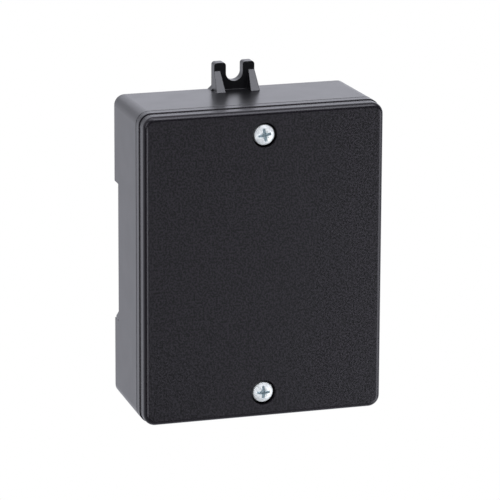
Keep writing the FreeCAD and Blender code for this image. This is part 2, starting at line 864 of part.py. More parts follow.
def relay_winding():
    """Copper winding on the spool."""
    bottom = spool_bottom + former_flange
    top = spool_top - former_flange
    winding = relay_rod(winding_radius, coil_w, bottom, top)
    return winding.cut(relay_rod(spool_radius, coil_w, bottom, top))


def relay_yoke():
    """L-shaped iron yoke with the core and its pole face."""
    half = yoke_width / 2
    outer = coil_w + yoke_reach
    foot = relay_block(-half, half, former_top, spool_bottom, coil_w - half, outer)
    leg = relay_block(-half, half, former_top, armature_low - hinge_gap, outer - yoke_thickness, outer)
    core = relay_rod(core_radius, coil_w, former_top, spool_top)
    pole = relay_rod(pole_radius, coil_w, spool_top, pole_top)
    return joined([foot, leg, core, pole])


def relay_armature():
    """Iron armature with the contact leaf and its double-sided contact."""
    half = armature_width / 2
    half_leaf = leaf_width / 2
    hinge_end = armature_end + armature_length
    plate = relay_block(-half, half, armature_low, armature_high, armature_end, hinge_end)
    leaf = relay_block(-half_leaf, half_leaf, armature_high, leaf_high, armature_end - leaf_reach,
                       hinge_end - half)
    button = relay_rod(contact_radius, moving_contact_w, armature_high - contact_height,
                       leaf_high + contact_height)
    return joined([plate, leaf, button])


def contact_blades():
    """Fixed contacts of one relay: the one that rests closed in front and the one that closes behind."""
    half = blade_width / 2
    back_face = armature_high - contact_height - contact_travel - contact_rest_gap
    front_face = leaf_high + contact_height + contact_rest_gap
    reach_w = moving_contact_w + contact_radius
    stem = blade_foot_w + blade_thickness
    behind = joined([relay_block(-half, half, former_top, back_face, blade_foot_w, stem),
                     relay_block(-half, half, back_face - blade_thickness, back_face, blade_foot_w, reach_w)])
    front_top = front_face + blade_thickness
    shift = -blade_shift
    ahead = joined([relay_block(shift - half, shift, former_top, front_top, blade_foot_w, stem),
                    relay_block(shift - half, half, front_face, front_top, blade_foot_w, reach_w)])
    return [behind, ahead]


def relay_contacts():
    """Fixed contact blades of all the relays."""
    blades = [moved(blade, x=x) for x in relay_centres for blade in contact_blades()]
    return group(blades)


def standing(y_height):
    """Plane at a height in front of the board."""
    return board_front_y - y_height


def capacitor():
    """Standing electrolytic can with a rolled groove near its foot."""
    x, z = board_place(capacitor_place)
    low = standing(capacitor_groove_height)
    high = standing(capacitor_groove_height + capacitor_groove)
    pieces = [sided_rod(capacitor_radius, x, z, low, board_front_y, wide_sides),
              sided_rod(capacitor_radius - capacitor_groove, x, z, high, low, wide_sides),
              sided_rod(capacitor_radius, x, z, standing(capacitor_height), high, wide_sides)]
    return joined(pieces)


def choke():
    """Drum choke with a wound waist."""
    x, z = board_place(choke_place)
    foot = standing(choke_flange)
    head = standing(choke_height - choke_flange)
    pieces = [sided_rod(choke_radius, x, z, foot, board_front_y, wide_sides),
              sided_rod(choke_waist, x, z, head, foot, wide_sides),
              sided_rod(choke_radius, x, z, standing(choke_height), head, wide_sides)]
    return joined(pieces)


def chip(x, z, length, width, legs, pitch):
    """Chip body with bevelled sides and a row of bent legs on each long side."""
    half_x = length / 2
    half_z = width / 2
    middle = standing(chip_lift + chip_height / 2)
    low, high = standing(chip_lift), standing(chip_lift + chip_height)
    inner = half_z - chip_bevel
    side = [(low, -inner), (middle, -half_z), (high, -inner), (high, inner), (middle, half_z), (low, inner)]
    pieces = [prism_x(side, -half_x, half_x)]
    tip = half_z + leg_reach
    knee = tip - leg_foot
    profile = [(middle - leg_thickness, half_z - chip_bevel), (middle - leg_thickness, knee),
               (standing(leg_thickness), tip), (board_front_y, tip), (board_front_y, knee),
               (middle, half_z - chip_bevel)]
    leg = prism_x(profile, -leg_width / 2, leg_width / 2)
    for n in range(legs):
        placed = moved(leg, x=pitch * (n - (legs - 1) / 2))
        pieces.append(placed)
        pieces.append(placed.mirror(Vector(0, 0, 0), Vector(0, 0, 1)))
    return moved(joined(pieces), x=x, z=z)


def status_lights():
    """Small light under each relay: a lens on its base."""
    lights = []
    for x in relay_centres:
        base = block(x - light_width / 2, x + light_width / 2, standing(light_base), board_front_y,
                     light_z - light_length / 2, light_z + light_length / 2)
        lens = block(x - light_width / 2, x + light_width / 2, standing(light_height), standing(light_base),
                     light_z - light_width / 2, light_z + light_width / 2)
        lights.append(joined([base, lens]))
    return group(lights)


def learn_button_body():
    """Square housing of the push button, with a stepped bore for the plunger."""
    x, z = board_place(button_place)
    half = button_size / 2
    top = standing(button_height)
    body = block(x - half, x + half, top, board_front_y, z - half, z + half)
    body = body.makeChamfer(button_corner, edges_where(body, lambda p, run: along(run, 1)))
    collar = plunger_collar + plunger_clearance
    stage = standing(plunger_root + plunger_collar_thickness + plunger_clearance)
    floor = standing(plunger_root - plunger_travel - plunger_clearance)
    bore = plunger_radius + plunger_clearance
    body = body.cut(sided_rod(bore, x, z, top, stage, round_sides, True))
    return body.cut(sided_rod(collar, x, z, stage, floor, round_sides, True))


def learn_button_plunger():
    """Plunger with the collar that keeps it in the housing."""
    x, z = board_place(button_place)
    root = standing(plunger_root)
    collar_top = standing(plunger_root + plunger_collar_thickness)
    stem = sided_rod(plunger_radius, x, z, standing(plunger_height), root, round_sides)
    collar = sided_rod(plunger_collar, x, z, collar_top, root, round_sides)
    return joined([stem, collar])


pieces = {
    "rear_housing": rear_housing(),
    "front_cover": front_cover(),
    "cover_screw_top": cover_screw(1),
    "cover_screw_bottom": cover_screw(-1),
    "rail_latch": rail_latch(),
    "latch_spring": latch_spring(),
    "circuit_board": circuit_board(),
    "board_screws": board_screws(),
    "terminal_block_left": terminal_block(-1),
    "terminal_block_right": terminal_block(1),
    "terminal_bars": group([moved(terminal_bar(), x=x) for x in pole_xs]),
    "relay_contacts": relay_contacts(),
    "capacitor": capacitor(),
    "choke": choke(),
    "rectifier": chip(*board_place(rectifier_place), rectifier_length, rectifier_width, rectifier_legs,
                      rectifier_leg_pitch),
    "driver_chip": chip(chip_x, driver_z, driver_length, chip_width, driver_legs, leg_pitch),
    "microcontroller": chip(chip_x, controller_z, controller_length, chip_width, controller_legs, leg_pitch),
    "status_lights": status_lights(),
    "learn_button_body": learn_button_body(),
    "learn_button_plunger": learn_button_plunger(),
}
for number, x in enumerate(pole_xs, start=1):
    pieces[f"terminal_screw_{number}"] = moved(terminal_screw(), x=x)
    pieces[f"wire_cage_{number}"] = moved(wire_cage(), x=x)
for number, x in enumerate(relay_centres, start=1):
    pieces[f"relay_{number}_case"] = moved(relay_case(), x=x)
    pieces[f"relay_{number}_former"] = moved(relay_former(), x=x)
    pieces[f"relay_{number}_winding"] = moved(relay_winding(), x=x)
    pieces[f"relay_{number}_yoke"] = moved(relay_yoke(), x=x)
    pieces[f"relay_{number}_armature"] = moved(relay_armature(), x=x)

os.makedirs("parts", exist_ok=True)
for name, shape in pieces.items():
    shape.exportStep(f"parts/{name}.step")
print(f"{len(pieces)} pieces; cage travel {cage_travel:.2f} mm; cage and screw line z {cage_z:.2f} mm")
print(f"relay hinge at z {relay_z + hinge_w:.2f}, y {board_front_y - armature_low:.2f} mm")
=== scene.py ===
# %% [markdown]
# # A relay module in a black moulded case
# The solids of this relay module were drawn elsewhere, to size, and they arrive here as a fixed
# frame. This lesson gives them their surfaces and adds the fine pieces that solids alone leave
# plain: the screws with their threads, the wound coils, the tracks of the board. Everything is in
# metres. X runs to the right, Y into the wall and Z up.

import math

import bmesh
import bpy
import numpy as np
from mathutils import Matrix, Vector


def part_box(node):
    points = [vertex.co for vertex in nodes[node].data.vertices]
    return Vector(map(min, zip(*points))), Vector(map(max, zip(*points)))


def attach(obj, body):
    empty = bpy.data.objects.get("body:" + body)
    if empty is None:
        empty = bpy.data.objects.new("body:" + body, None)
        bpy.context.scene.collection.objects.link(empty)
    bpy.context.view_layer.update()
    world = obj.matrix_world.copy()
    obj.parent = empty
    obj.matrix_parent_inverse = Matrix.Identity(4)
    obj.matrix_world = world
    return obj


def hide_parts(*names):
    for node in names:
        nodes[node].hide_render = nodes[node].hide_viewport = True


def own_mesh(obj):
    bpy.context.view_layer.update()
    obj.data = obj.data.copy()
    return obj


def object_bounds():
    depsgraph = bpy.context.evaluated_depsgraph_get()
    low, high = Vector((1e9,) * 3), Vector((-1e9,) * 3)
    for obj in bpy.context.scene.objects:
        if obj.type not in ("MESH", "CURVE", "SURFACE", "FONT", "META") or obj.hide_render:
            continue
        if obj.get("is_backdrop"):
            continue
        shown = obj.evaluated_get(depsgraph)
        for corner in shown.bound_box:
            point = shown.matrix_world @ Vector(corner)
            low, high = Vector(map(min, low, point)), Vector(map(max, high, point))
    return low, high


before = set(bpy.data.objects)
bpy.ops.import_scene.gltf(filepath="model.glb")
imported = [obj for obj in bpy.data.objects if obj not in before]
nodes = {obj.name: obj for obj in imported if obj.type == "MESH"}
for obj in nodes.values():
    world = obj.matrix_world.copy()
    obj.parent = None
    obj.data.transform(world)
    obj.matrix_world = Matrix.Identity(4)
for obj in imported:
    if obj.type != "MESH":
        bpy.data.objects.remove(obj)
cad_low, cad_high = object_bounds()
mm = 0.001
print(f"{len(nodes)} solids in a box of {[round(v / mm, 1) for v in cad_high - cad_low]} mm")

# %% [markdown]
# ## The camera
# A product photographer stands back and uses a long lens, so that the sides of a box hardly
# converge. The camera could be placed by eye, but a box gives it away, so the outline of the case
# was matched to the photograph's by least squares. That gave the turn round the case, the rise
# above it, a slight roll, the distance, the lens and the point that it looks at. Here they become
# a place and three directions.

# %% Camera at the photograph's angle
turn, rise, roll = math.radians(-17.409), math.radians(15.119), math.radians(0.262)
distance = 1.1102
focal_pixels, image_pixels = 3888.4, 500
aim = Vector((0.519 * mm, -12.8 * mm, 0.432 * mm))
back = Vector((math.sin(turn) * math.cos(rise), -math.cos(turn) * math.cos(rise), math.sin(rise)))
level_right = Vector((math.cos(turn), math.sin(turn), 0))
level_up = back.cross(level_right)
camera_right = level_right * math.cos(roll) + level_up * math.sin(roll)
camera_up = level_up * math.cos(roll) - level_right * math.sin(roll)

camera = bpy.data.objects.new("camera", bpy.data.cameras.new("camera"))
bpy.context.scene.collection.objects.link(camera)
camera.data.sensor_width = 36.0
camera.data.lens = focal_pixels / image_pixels * camera.data.sensor_width
camera.location = aim + back * distance
camera.rotation_mode = "QUATERNION"
camera.rotation_quaternion = Matrix((camera_right, camera_up, back)).transposed().to_quaternion()
bpy.context.scene.camera = camera
print(f"lens {camera.data.lens:.0f} mm, {distance:.2f} m from the case")

# %% [markdown]
# ## Helpers for every finish
# Colours are picked as sRGB hex values, as on any colour chart, but the shader adds and multiplies
# light, so each one is turned to linear first. A second helper adds one node to a material, with
# its settings and what feeds it in the same breath, which keeps a recipe short enough to read. The
# others start a material, put it on solids, and turn a real size into a texture's scale.

# %% Colour and node helpers
def linear(code, alpha=1.0):
    """Linear RGBA of an sRGB hex colour: each channel raised by the sRGB curve."""
    channels = [int(code[i:i + 2], 16) / 255 for i in (1, 3, 5)]
    curve = [c / 12.92 if c <= 0.04045 else ((c + 0.055) / 1.055) ** 2.4 for c in channels]
    return (*curve, alpha)


def add(tree, kind, feeds=None, **settings):
    """New node of a kind. Settings name a property, or an input by its label with _ for blanks.
    Feeds map an input, by number or label, to the output or the fixed value that it takes."""
    node = tree.nodes.new(kind)

    def socket(name):
        if isinstance(name, int):
            return node.inputs[name]
        label = name.replace("_", " ").lower()
        return next(s for s in node.inputs if s.name.lower() == label and s.enabled)

    for name, value in settings.items():
        if hasattr(node, name):
            setattr(node, name, value)
        else:
            socket(name).default_value = value
    for name, source in (feeds or {}).items():
        if isinstance(source, bpy.types.NodeSocket):
            tree.links.new(source, socket(name))
        else:
            socket(name).default_value = source
    return node


def finish(name, **settings):
    """Empty material with one Principled shader; returns the material, its tree and the shader."""
    material = bpy.data.materials.new(name)
    material.use_nodes = True
    tree = material.node_tree
    shader = tree.nodes["Principled BSDF"]
    for label, value in settings.items():
        shader.inputs[label.replace("_", " ")].default_value = value
    return material, tree, shader


def dress(material, names):
    """Give CAD nodes a material."""
    for name in names:
        slots = nodes[name].data.materials
        slots.clear()
        slots.append(material)
    print(f"{material.name} on {', '.join(names[:3])}{' and more' if len(names) > 3 else ''}")


def per_metre(size_mm):
    """Texture scale that gives features of a size in millimetres on Object coordinates."""
    return 1 / (size_mm * mm)


print("middle grey #808080 is", round(linear("#808080")[0], 3), "in linear light")

# %% [markdown]
# ## Floor, backdrop and light
# The case is shot on plain white. A white sweep could be lit until it burns out, but then it would
# also wash over the black plastic. Here the world is white only for the camera, and dimmer for
# diffuse rays, so the background stays clean. Mirror-like rays see it too: white behind the case,
# which turns the black sides grey at a slant, and dark in front, where a studio has its black
# cloth. That keeps the front deep, as black plastic should be. A slight shade in the backdrop's
# upper left parts the case's left side from its top along the rounded corner.

# %% World
scene = bpy.context.scene
scene.view_settings.view_transform = "Standard"
white, cool = linear("#ffffff"), linear("#f3f4ff")
cloth_level, paper_level, diffuse_level = 0.05, 0.94, 0.45


def black_in_front(tree, vector, start, end):
    """Brightness that mirrors see along a vector: dark cloth in front of start, white paper behind
    end, and a smooth step over Y between them."""
    split = add(tree, "ShaderNodeSeparateXYZ", {0: vector})
    step = add(tree, "ShaderNodeMapRange", {0: split.outputs["Y"]}, interpolation_type="SMOOTHSTEP",
               From_Min=start, From_Max=end, To_Min=cloth_level, To_Max=paper_level)
    return step.outputs[0]


def seen_three_ways(tree, diffuse, shiny, clean):
    """Mix of three shaders: for diffuse rays, for rays from a mirror or glass, for the camera."""
    path = add(tree, "ShaderNodeLightPath").outputs
    mirror = add(tree, "ShaderNodeMath", {0: path["Is Glossy Ray"], 1: path["Is Transmission Ray"]},
                 operation="MAXIMUM")
    unseen = add(tree, "ShaderNodeMixShader", {0: mirror.outputs[0], 1: diffuse, 2: shiny})
    feeds = {0: path["Is Camera Ray"], 1: unseen.outputs[0], 2: clean}
    return add(tree, "ShaderNodeMixShader", feeds).outputs[0]


world = bpy.data.worlds.new("studio")
scene.world = world
world.use_nodes = True
tree = world.node_tree
tree.nodes.clear()
direction = add(tree, "ShaderNodeTexCoord").outputs["Generated"]
in_front = black_in_front(tree, direction, -0.25, 0.35)
split = add(tree, "ShaderNodeSeparateXYZ", {0: direction})
upper_left = add(tree, "ShaderNodeMath", {0: split.outputs["Z"], 1: split.outputs["X"]},
                 operation="SUBTRACT")
shade = add(tree, "ShaderNodeMapRange", {0: upper_left.outputs[0]}, interpolation_type="SMOOTHSTEP",
            From_Min=0.25, From_Max=0.55, To_Min=1.0, To_Max=0.78)
glossy_level = add(tree, "ShaderNodeMath", {0: in_front, 1: shade.outputs[0]}, operation="MULTIPLY")
soft = add(tree, "ShaderNodeBackground", Color=white, Strength=diffuse_level)
shiny = add(tree, "ShaderNodeBackground", {"Strength": glossy_level.outputs[0]}, Color=cool)
clean = add(tree, "ShaderNodeBackground", Color=white, Strength=1.0)
looks = seen_three_ways(tree, soft.outputs[0], shiny.outputs[0], clean.outputs[0])
add(tree, "ShaderNodeOutputWorld", {"Surface": looks})
print(f"world: {diffuse_level} for diffuse rays, {cloth_level} to {paper_level} for mirrors")

# %% [markdown]
# ### Lamps
# One large lamp could light the whole case, but black plastic shows a lamp only where it mirrors
# it, so each box here has one job. From above: the top and the lug. From the left: the side's even
# grey. From the front, high up: the cover, and the light line on its upper edge. From the right,
# small: the light line down the right edge. The strip, low in front: the rounded corner between
# side and cover, and the step round the cover. From behind: the rear edge of the top, and the
# back.

# %% Soft boxes
middle = Vector((0, -11 * mm, 0))


def lamp(name, place, size, power):
    """Soft box at a place in metres, which faces the middle of the case; power in watts."""
    data = bpy.data.lights.new(name, "AREA")
    data.shape = "RECTANGLE"
    data.size, data.size_y = size
    data.energy = power
    data.color = cool[:3]
    box = bpy.data.objects.new(name, data)
    box.location = place
    box.rotation_mode = "QUATERNION"
    box.rotation_quaternion = (middle - Vector(place)).to_track_quat("-Z", "Y")
    box.visible_camera = False
    scene.collection.objects.link(box)
    print(f"{name}: {power} W")


lamp("soft_box_above", (-0.15, -0.1, 0.9), (0.7, 0.7), 4.0)
lamp("soft_box_left", (-0.8, -0.5, 0.4), (0.5, 0.7), 2.4)
lamp("soft_box_front", (0.33, -0.6, 0.95), (0.7, 0.6), 6.8)
lamp("soft_box_right", (0.3, -0.24, -0.14), (0.24, 0.4), 1.0)
lamp("strip_box_front_left", (-0.26, -0.7, -0.17), (0.3, 0.26), 1.15)
lamp("soft_box_behind", (0.35, 1.1, 0.32), (1.2, 0.6), 1.0)

# %% [markdown]
# ### Floor
# In the photograph the case hangs in white with no shadow under it, so the sheet of paper lies well
# below. It could be left out, but it throws a little light on the case from underneath, as a studio
# table does. For the camera and for mirrors it looks like the backdrop.

# %% White paper
floor_drop, floor_reach = 0.25, 4.0
floor_level = cad_low.z - floor_drop
ends = (-floor_reach, floor_reach)
corners = [(x, y, floor_level) for y in ends for x in ends]
floor_mesh = bpy.data.meshes.new("floor")
floor_mesh.from_pydata(corners, [], [(0, 1, 3, 2)])
floor = bpy.data.objects.new("floor", floor_mesh)
scene.collection.objects.link(floor)
floor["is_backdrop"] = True
material, tree, shader = finish("white_paper_sweep", Base_Color=linear("#f2f2f2"), Roughness=0.9)
place = add(tree, "ShaderNodeTexCoord")
level = black_in_front(tree, place.outputs["Object"], -0.5, 0.25)
shiny = add(tree, "ShaderNodeEmission", {"Strength": level}, Color=cool)
clean = add(tree, "ShaderNodeEmission", Color=white, Strength=1.0)
looks = seen_three_ways(tree, shader.outputs[0], shiny.outputs[0], clean.outputs[0])
tree.links.new(looks, tree.nodes["Material Output"].inputs["Surface"])
floor_mesh.materials.append(material)
print(f"floor {abs(floor_level) / mm:.0f} mm below the middle of the rail seat")

# %% [markdown]
# ## Moulded case plastics
# Both halves are ABS, injection moulded. The rear housing left a smooth tool, so it is satin and
# even, with a faint orange peel. The cover left a spark-eroded tool, which prints a fine grain on
# its flat front and breaks the shine up into speckle, while its rim stays smooth. A texture image
# could carry the grain, but noise on Object coordinates needs no unwrapping and has no seams. A
# Bevel node softens the normals at the edges, where a real moulding always catches a thin light.

# %% Moulded relief: noise, edge softening and mottle
def relief(tree, shader, size_mm, depth_mm, strength=1.0, edge_mm=0.2, mask=None):
    """Bump of noise with features of a size, over normals rounded at edges; returns the noise."""
    place = add(tree, "ShaderNodeTexCoord")
    noise = add(tree, "ShaderNodeTexNoise", {0: place.outputs["Object"]},
                Scale=per_metre(size_mm), Detail=2.0, Roughness=0.6)
    edge = add(tree, "ShaderNodeBevel", samples=4, Radius=edge_mm * mm)
    feeds = {"Height": noise.outputs[0], "Normal": edge.outputs[0], "Strength": mask or strength}
    bump = add(tree, "ShaderNodeBump", feeds, Distance=depth_mm * mm)
    tree.links.new(bump.outputs[0], shader.inputs["Normal"])
    return noise.outputs[0]


def mottle(tree, shader, value, label, low, high, start=0.35, end=0.65):
    """Let one number of the shader wander between low and high with a noise value."""
    node = add(tree, "ShaderNodeMapRange", {0: value}, From_Min=start, From_Max=end,
               To_Min=low, To_Max=high)
    tree.links.new(node.outputs[0], shader.inputs[label])


def tint(tree, shader, value, low, high, start=0.35, end=0.65):
    """Let the base colour wander between two hex colours with a noise value."""
    share = add(tree, "ShaderNodeMapRange", {0: value}, From_Min=start, From_Max=end)
    blend = add(tree, "ShaderNodeMix", {0: share.outputs[0], 6: linear(low), 7: linear(high)},
                data_type="RGBA")
    tree.links.new(blend.outputs[2], shader.inputs["Base Color"])
    return blend.outputs[2]


def parted(tree, shader, share, first, second):
    """Give the base colour its first source where the share is 0, and the second where it is 1."""
    blend = add(tree, "ShaderNodeMix", {0: share, 6: first, 7: second}, data_type="RGBA")
    tree.links.new(blend.outputs[2], shader.inputs["Base Color"])


def noise_of(tree, size_mm, stretch=(1, 1, 1)):
    """Noise with features of a size in millimetres, stretched along an axis where asked."""
    place = add(tree, "ShaderNodeTexCoord")
    turn = add(tree, "ShaderNodeMapping", {0: place.outputs["Object"]}, Scale=stretch)
    noise = add(tree, "ShaderNodeTexNoise", {0: turn.outputs[0]}, Scale=per_metre(size_mm),
                Detail=2.0)
    return noise.outputs[0]


def object_axis(tree, axis):
    """One Object coordinate, in metres."""
    place = add(tree, "ShaderNodeTexCoord")
    split = add(tree, "ShaderNodeSeparateXYZ", {0: place.outputs["Object"]})
    return split.outputs[axis]


print("a grain of 0.55 mm takes a scale of", round(per_metre(0.55)), "per metre")

# %% Satin ABS of the rear housing and the latch
material, tree, shader = finish("moulded_abs_satin", Base_Color=linear("#101012"), IOR=1.53)
relief(tree, shader, size_mm=1.2, depth_mm=0.05, strength=0.03, edge_mm=0.25)
mottle(tree, shader, noise_of(tree, 9.0), "Roughness", 0.28, 0.3)
dress(material, ["rear_housing", "rail_latch"])

# %% [markdown]
# ### Grain on the cover alone
# The grain stops where the flat front ends. A second material on the rim would need the solid cut
# up, so the depth behind the front decides instead: within a hundredth of a millimetre relief,
# roughness and tint go over from grained to smooth. The real grain is about 0.1 mm. It is drawn at
# 0.55 mm, the finest that a 500 pixel render shows.

# %% Spark-eroded ABS of the front cover
material, tree, shader = finish("moulded_abs_grained", Specular_IOR_Level=0.33, IOR=1.53)
front_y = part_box("front_cover")[0].y
grain_ends, smooth_from = front_y + 0.002 * mm, front_y + 0.012 * mm
front_only = add(tree, "ShaderNodeMapRange", {0: object_axis(tree, "Y")},
                 From_Min=grain_ends, From_Max=smooth_from, To_Min=1.0, To_Max=0.0)
grained = front_only.outputs[0]
depth = add(tree, "ShaderNodeMapRange", {0: grained}, To_Min=0.04, To_Max=1.0)
grain = relief(tree, shader, size_mm=0.55, depth_mm=0.06, edge_mm=0.2, mask=depth.outputs[0])
roughness = add(tree, "ShaderNodeMapRange", {0: grained}, To_Min=0.26, To_Max=0.48)
tree.links.new(roughness.outputs[0], shader.inputs["Roughness"])
speckle = add(tree, "ShaderNodeMix", {0: grained, 2: 0.5, 3: grain}, data_type="FLOAT")
tint(tree, shader, speckle.outputs[0], "#010102", "#1e1b20", 0.43, 0.57)
dress(material, ["front_cover"])

# %% [markdown]
# ## Metals
# Zinc plating is pale and slightly blue, and its crystals scatter the light, so it is never a
# clean mirror. Tin on brass is warmer and softer, nickel on iron yellower, and spring wire is
# darker. Their roughness could be one number, but such a metal looks like plastic foil. Here it
# wanders by a few hundredths: more would leave stains where it mirrors the black cloth.

# %% Plated metals
def plated(name, low, high, rough, size_mm=0.6, stretch=(1, 1, 1), metallic=1.0):
    """Metal whose colour and roughness wander between two values with the same noise."""
    material, tree, shader = finish(name, Metallic=metallic)
    noise = noise_of(tree, size_mm, stretch=stretch)
    tint(tree, shader, noise, low, high)
    mottle(tree, shader, noise, "Roughness", rough - 0.02, rough + 0.03)
    relief(tree, shader, size_mm=size_mm, depth_mm=0.01, strength=0.08, edge_mm=0.08)
    return material


terminals, relays = range(1, 11), range(1, 5)
zinc = plated("zinc_plated_steel", "#dde5e6", "#f4f8f7", 0.47)
tin = plated("tinned_brass", "#bdb9ae", "#d9d6cc", 0.46)
nickel = plated("nickel_plated_steel", "#c4c0b6", "#d2cec4", 0.45, size_mm=1.5)
iron = plated("nickel_plated_soft_iron", "#a9a69f", "#c4c1b9", 0.45, size_mm=0.9)
spring_wire = plated("drawn_spring_steel", "#8f9196", "#b4b6ba", 0.3, stretch=(1, 1, 4))
enamel = plated("enamelled_copper_wire", "#8a3f1c", "#b5622f", 0.3, size_mm=0.5)
bronze = plated("contact_bronze", "#b5803f", "#c79352", 0.45)
dress(zinc, ["cover_screw_top", "cover_screw_bottom", "board_screws"])
dress(nickel, [f"terminal_screw_{n}" for n in terminals])
dress(tin, ["terminal_bars"] + [f"wire_cage_{n}" for n in terminals])
dress(bronze, ["relay_contacts"])
dress(iron, [f"relay_{n}_yoke" for n in relays])

# %% [markdown]
# ### Plating on the cover screws, with painted shade in the recess
# Their plating is pale and matt, half like a white paint. Down in the recess the colour turns a
# darker blue-grey: painted shade, which stands in for the shade that falls into the cross. A darker
# colour by the depth below the crown would also darken the head's rim, so the screws carry the
# depth of their recess as an attribute, which is read here.

# %% Matt zinc with painted shade in the recess
zinc_with_painted_recess_shade = plated("matt_zinc_with_painted_recess_shade", "#dbe0de", "#edf0ec", 0.5, metallic=0.6)
tree = zinc_with_painted_recess_shade.node_tree
shader = tree.nodes["Principled BSDF"]
outside = shader.inputs["Base Color"].links[0].from_socket
# Painted shade: with the recess's depth the base colour turns from the pale zinc to a darker
# blue-grey.
deep = add(tree, "ShaderNodeAttribute", attribute_name="recess")
share = add(tree, "ShaderNodeMapRange", {0: deep.outputs["Fac"]}, From_Min=0.05, From_Max=0.7)
parted(tree, shader, share.outputs[0], outside, linear("#a6b6bb"))
print(f"{zinc_with_painted_recess_shade.name}: full at a recess 0.7 mm deep")

# %% [markdown]
# ### Armatures
# An iron plate carries a bronze leaf, riveted on its front, with a contact that stands out on both
# sides. The three are one solid. It could be cut up, but a plane just in front of the plate parts
# the two colours as well.

# %% Iron plate with a bronze leaf
contact_mm, leaf_mm, clear_mm = 0.5, 0.2, 0.04
leaf_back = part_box("relay_1_armature")[0].y + (contact_mm + leaf_mm - clear_mm) * mm
material, tree, shader = finish("iron_plate_with_bronze_leaf", Metallic=1.0, Roughness=0.33)
leaf = add(tree, "ShaderNodeMath", {0: object_axis(tree, "Y"), 1: leaf_back},
           operation="LESS_THAN")
parted(tree, shader, leaf.outputs[0], linear("#b7b4ac"), linear("#bd8a4c"))
relief(tree, shader, size_mm=0.4, depth_mm=0.01, strength=0.3, edge_mm=0.06)
dress(material, [f"relay_{n}_armature" for n in relays])
print("leaf in front of y", round(leaf_back / mm, 2), "mm")

# %% [markdown]
# ## Plastics inside
# The terminal blocks are polyamide, coloured in the mass, with the cloudy look of glass fibre. The
# coil formers are a pale polyester. The relay cases are tinted and clear, so the coils show. Glass
# would be too clean for them: a little roughness gives the haze of a moulded wall.

# %% Inner plastics
def moulded(name, low, high, rough, size_mm=0.8, strength=0.25):
    """Moulded plastic: colour and roughness wander a little over a shallow relief."""
    material, tree, shader = finish(name, IOR=1.53)
    cloud = noise_of(tree, size_mm * 4)
    tint(tree, shader, cloud, low, high)
    mottle(tree, shader, cloud, "Roughness", rough - 0.04, rough + 0.05)
    relief(tree, shader, size_mm=size_mm, depth_mm=0.02, strength=strength, edge_mm=0.12)
    return material


polyamide = moulded("polyamide_green", "#2f6b3f", "#3a7d4b", 0.42)
polyester = moulded("polyester_former", "#ddd8c8", "#e9e5d8", 0.45)
key_black = moulded("button_housing_nylon", "#1b1b1d", "#232326", 0.4)
key_red = moulded("button_plunger_nylon", "#a3211d", "#b72d27", 0.34)
dress(polyamide, ["terminal_block_left", "terminal_block_right"])
dress(polyester, [f"relay_{n}_former" for n in relays])
dress(key_black, ["learn_button_body"])
dress(key_red, ["learn_button_plunger"])

# %% [markdown]
# ### Clear plastics
# The relay cases are polycarbonate with a blue tint. A status light is clear epoxy, cast over a
# white base. Lens and base are one solid, so here too a plane parts them: only what stands more
# than 0.5 mm in front of the board lets light through.

# %% Relay cases and status lights
clear_blue, tree, shader = finish("tinted_clear_polycarbonate", Base_Color=linear("#c6dff8"),
                                  IOR=1.58, Transmission_Weight=0.92)
relief(tree, shader, size_mm=2.0, depth_mm=0.02, strength=0.15, edge_mm=0.15)
mottle(tree, shader, noise_of(tree, 5.0), "Roughness", 0.04, 0.09)
dress(clear_blue, [f"relay_{n}_case" for n in relays])

lens, tree, shader = finish("clear_epoxy_on_white_base", IOR=1.54)
base_mm, clearness = 0.5, 0.7
lens_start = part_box("status_lights")[1].y - base_mm * mm
clear = add(tree, "ShaderNodeMath", {0: object_axis(tree, "Y"), 1: lens_start},
            operation="LESS_THAN")
through = add(tree, "ShaderNodeMath", {0: clear.outputs[0], 1: clearness}, operation="MULTIPLY")
tree.links.new(through.outputs[0], shader.inputs["Transmission Weight"])
tint(tree, shader, noise_of(tree, 0.7), "#e6e4d8", "#f1efe6")
mottle(tree, shader, noise_of(tree, 0.7), "Roughness", 0.2, 0.34)
relief(tree, shader, size_mm=0.4, depth_mm=0.01, strength=0.2, edge_mm=0.12)
dress(lens, ["status_lights"])

# %% [markdown]
# ### Chips
# A chip is matt epoxy, moulded round a tinned frame that gives it its legs. Body and legs are one
# solid. The legs stand out along Z past the body's side, so the distance from the chip's middle
# tells them apart, with no need to cut the solid.

# %% Epoxy bodies with tinned legs
def chip_finish(name, node, body_width_mm):
    """Matt epoxy between the two rows of legs and tin outside."""
    low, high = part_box(node)
    centre = (low.z + high.z) / 2
    material, tree, shader = finish(name, IOR=1.55)
    away = add(tree, "ShaderNodeMath", {0: object_axis(tree, "Z"), 1: centre}, operation="SUBTRACT")
    away = add(tree, "ShaderNodeMath", {0: away.outputs[0]}, operation="ABSOLUTE")
    leg = add(tree, "ShaderNodeMath", {0: away.outputs[0], 1: body_width_mm / 2 * mm},
              operation="GREATER_THAN").outputs[0]
    epoxy = tint(tree, shader, noise_of(tree, 0.25), "#18181a", "#29292b")
    parted(tree, shader, leg, epoxy, linear("#cbcac4"))
    tree.links.new(leg, shader.inputs["Metallic"])
    rough = add(tree, "ShaderNodeMapRange", {0: leg}, To_Min=0.55, To_Max=0.3)
    tree.links.new(rough.outputs[0], shader.inputs["Roughness"])
    relief(tree, shader, size_mm=0.2, depth_mm=0.01, strength=0.4, edge_mm=0.06)
    dress(material, [node])


chip_finish("epoxy_chip_eight_pairs", "driver_chip", 7.5)
chip_finish("epoxy_chip_ten_pairs", "microcontroller", 7.5)
chip_finish("epoxy_bridge", "rectifier", 6.4)

# %% [markdown]
# ### Circuit board laminate
# Glass cloth in epoxy under green solder mask. The mask is glossy and follows the cloth, whose
# real threads are 0.4 mm apart, drawn here at 0.8 mm. Two waves, one for each way of the weave, do
# it with no image. The cut edges show the bare straw-coloured laminate: they are where the face
# looks neither forwards nor back.

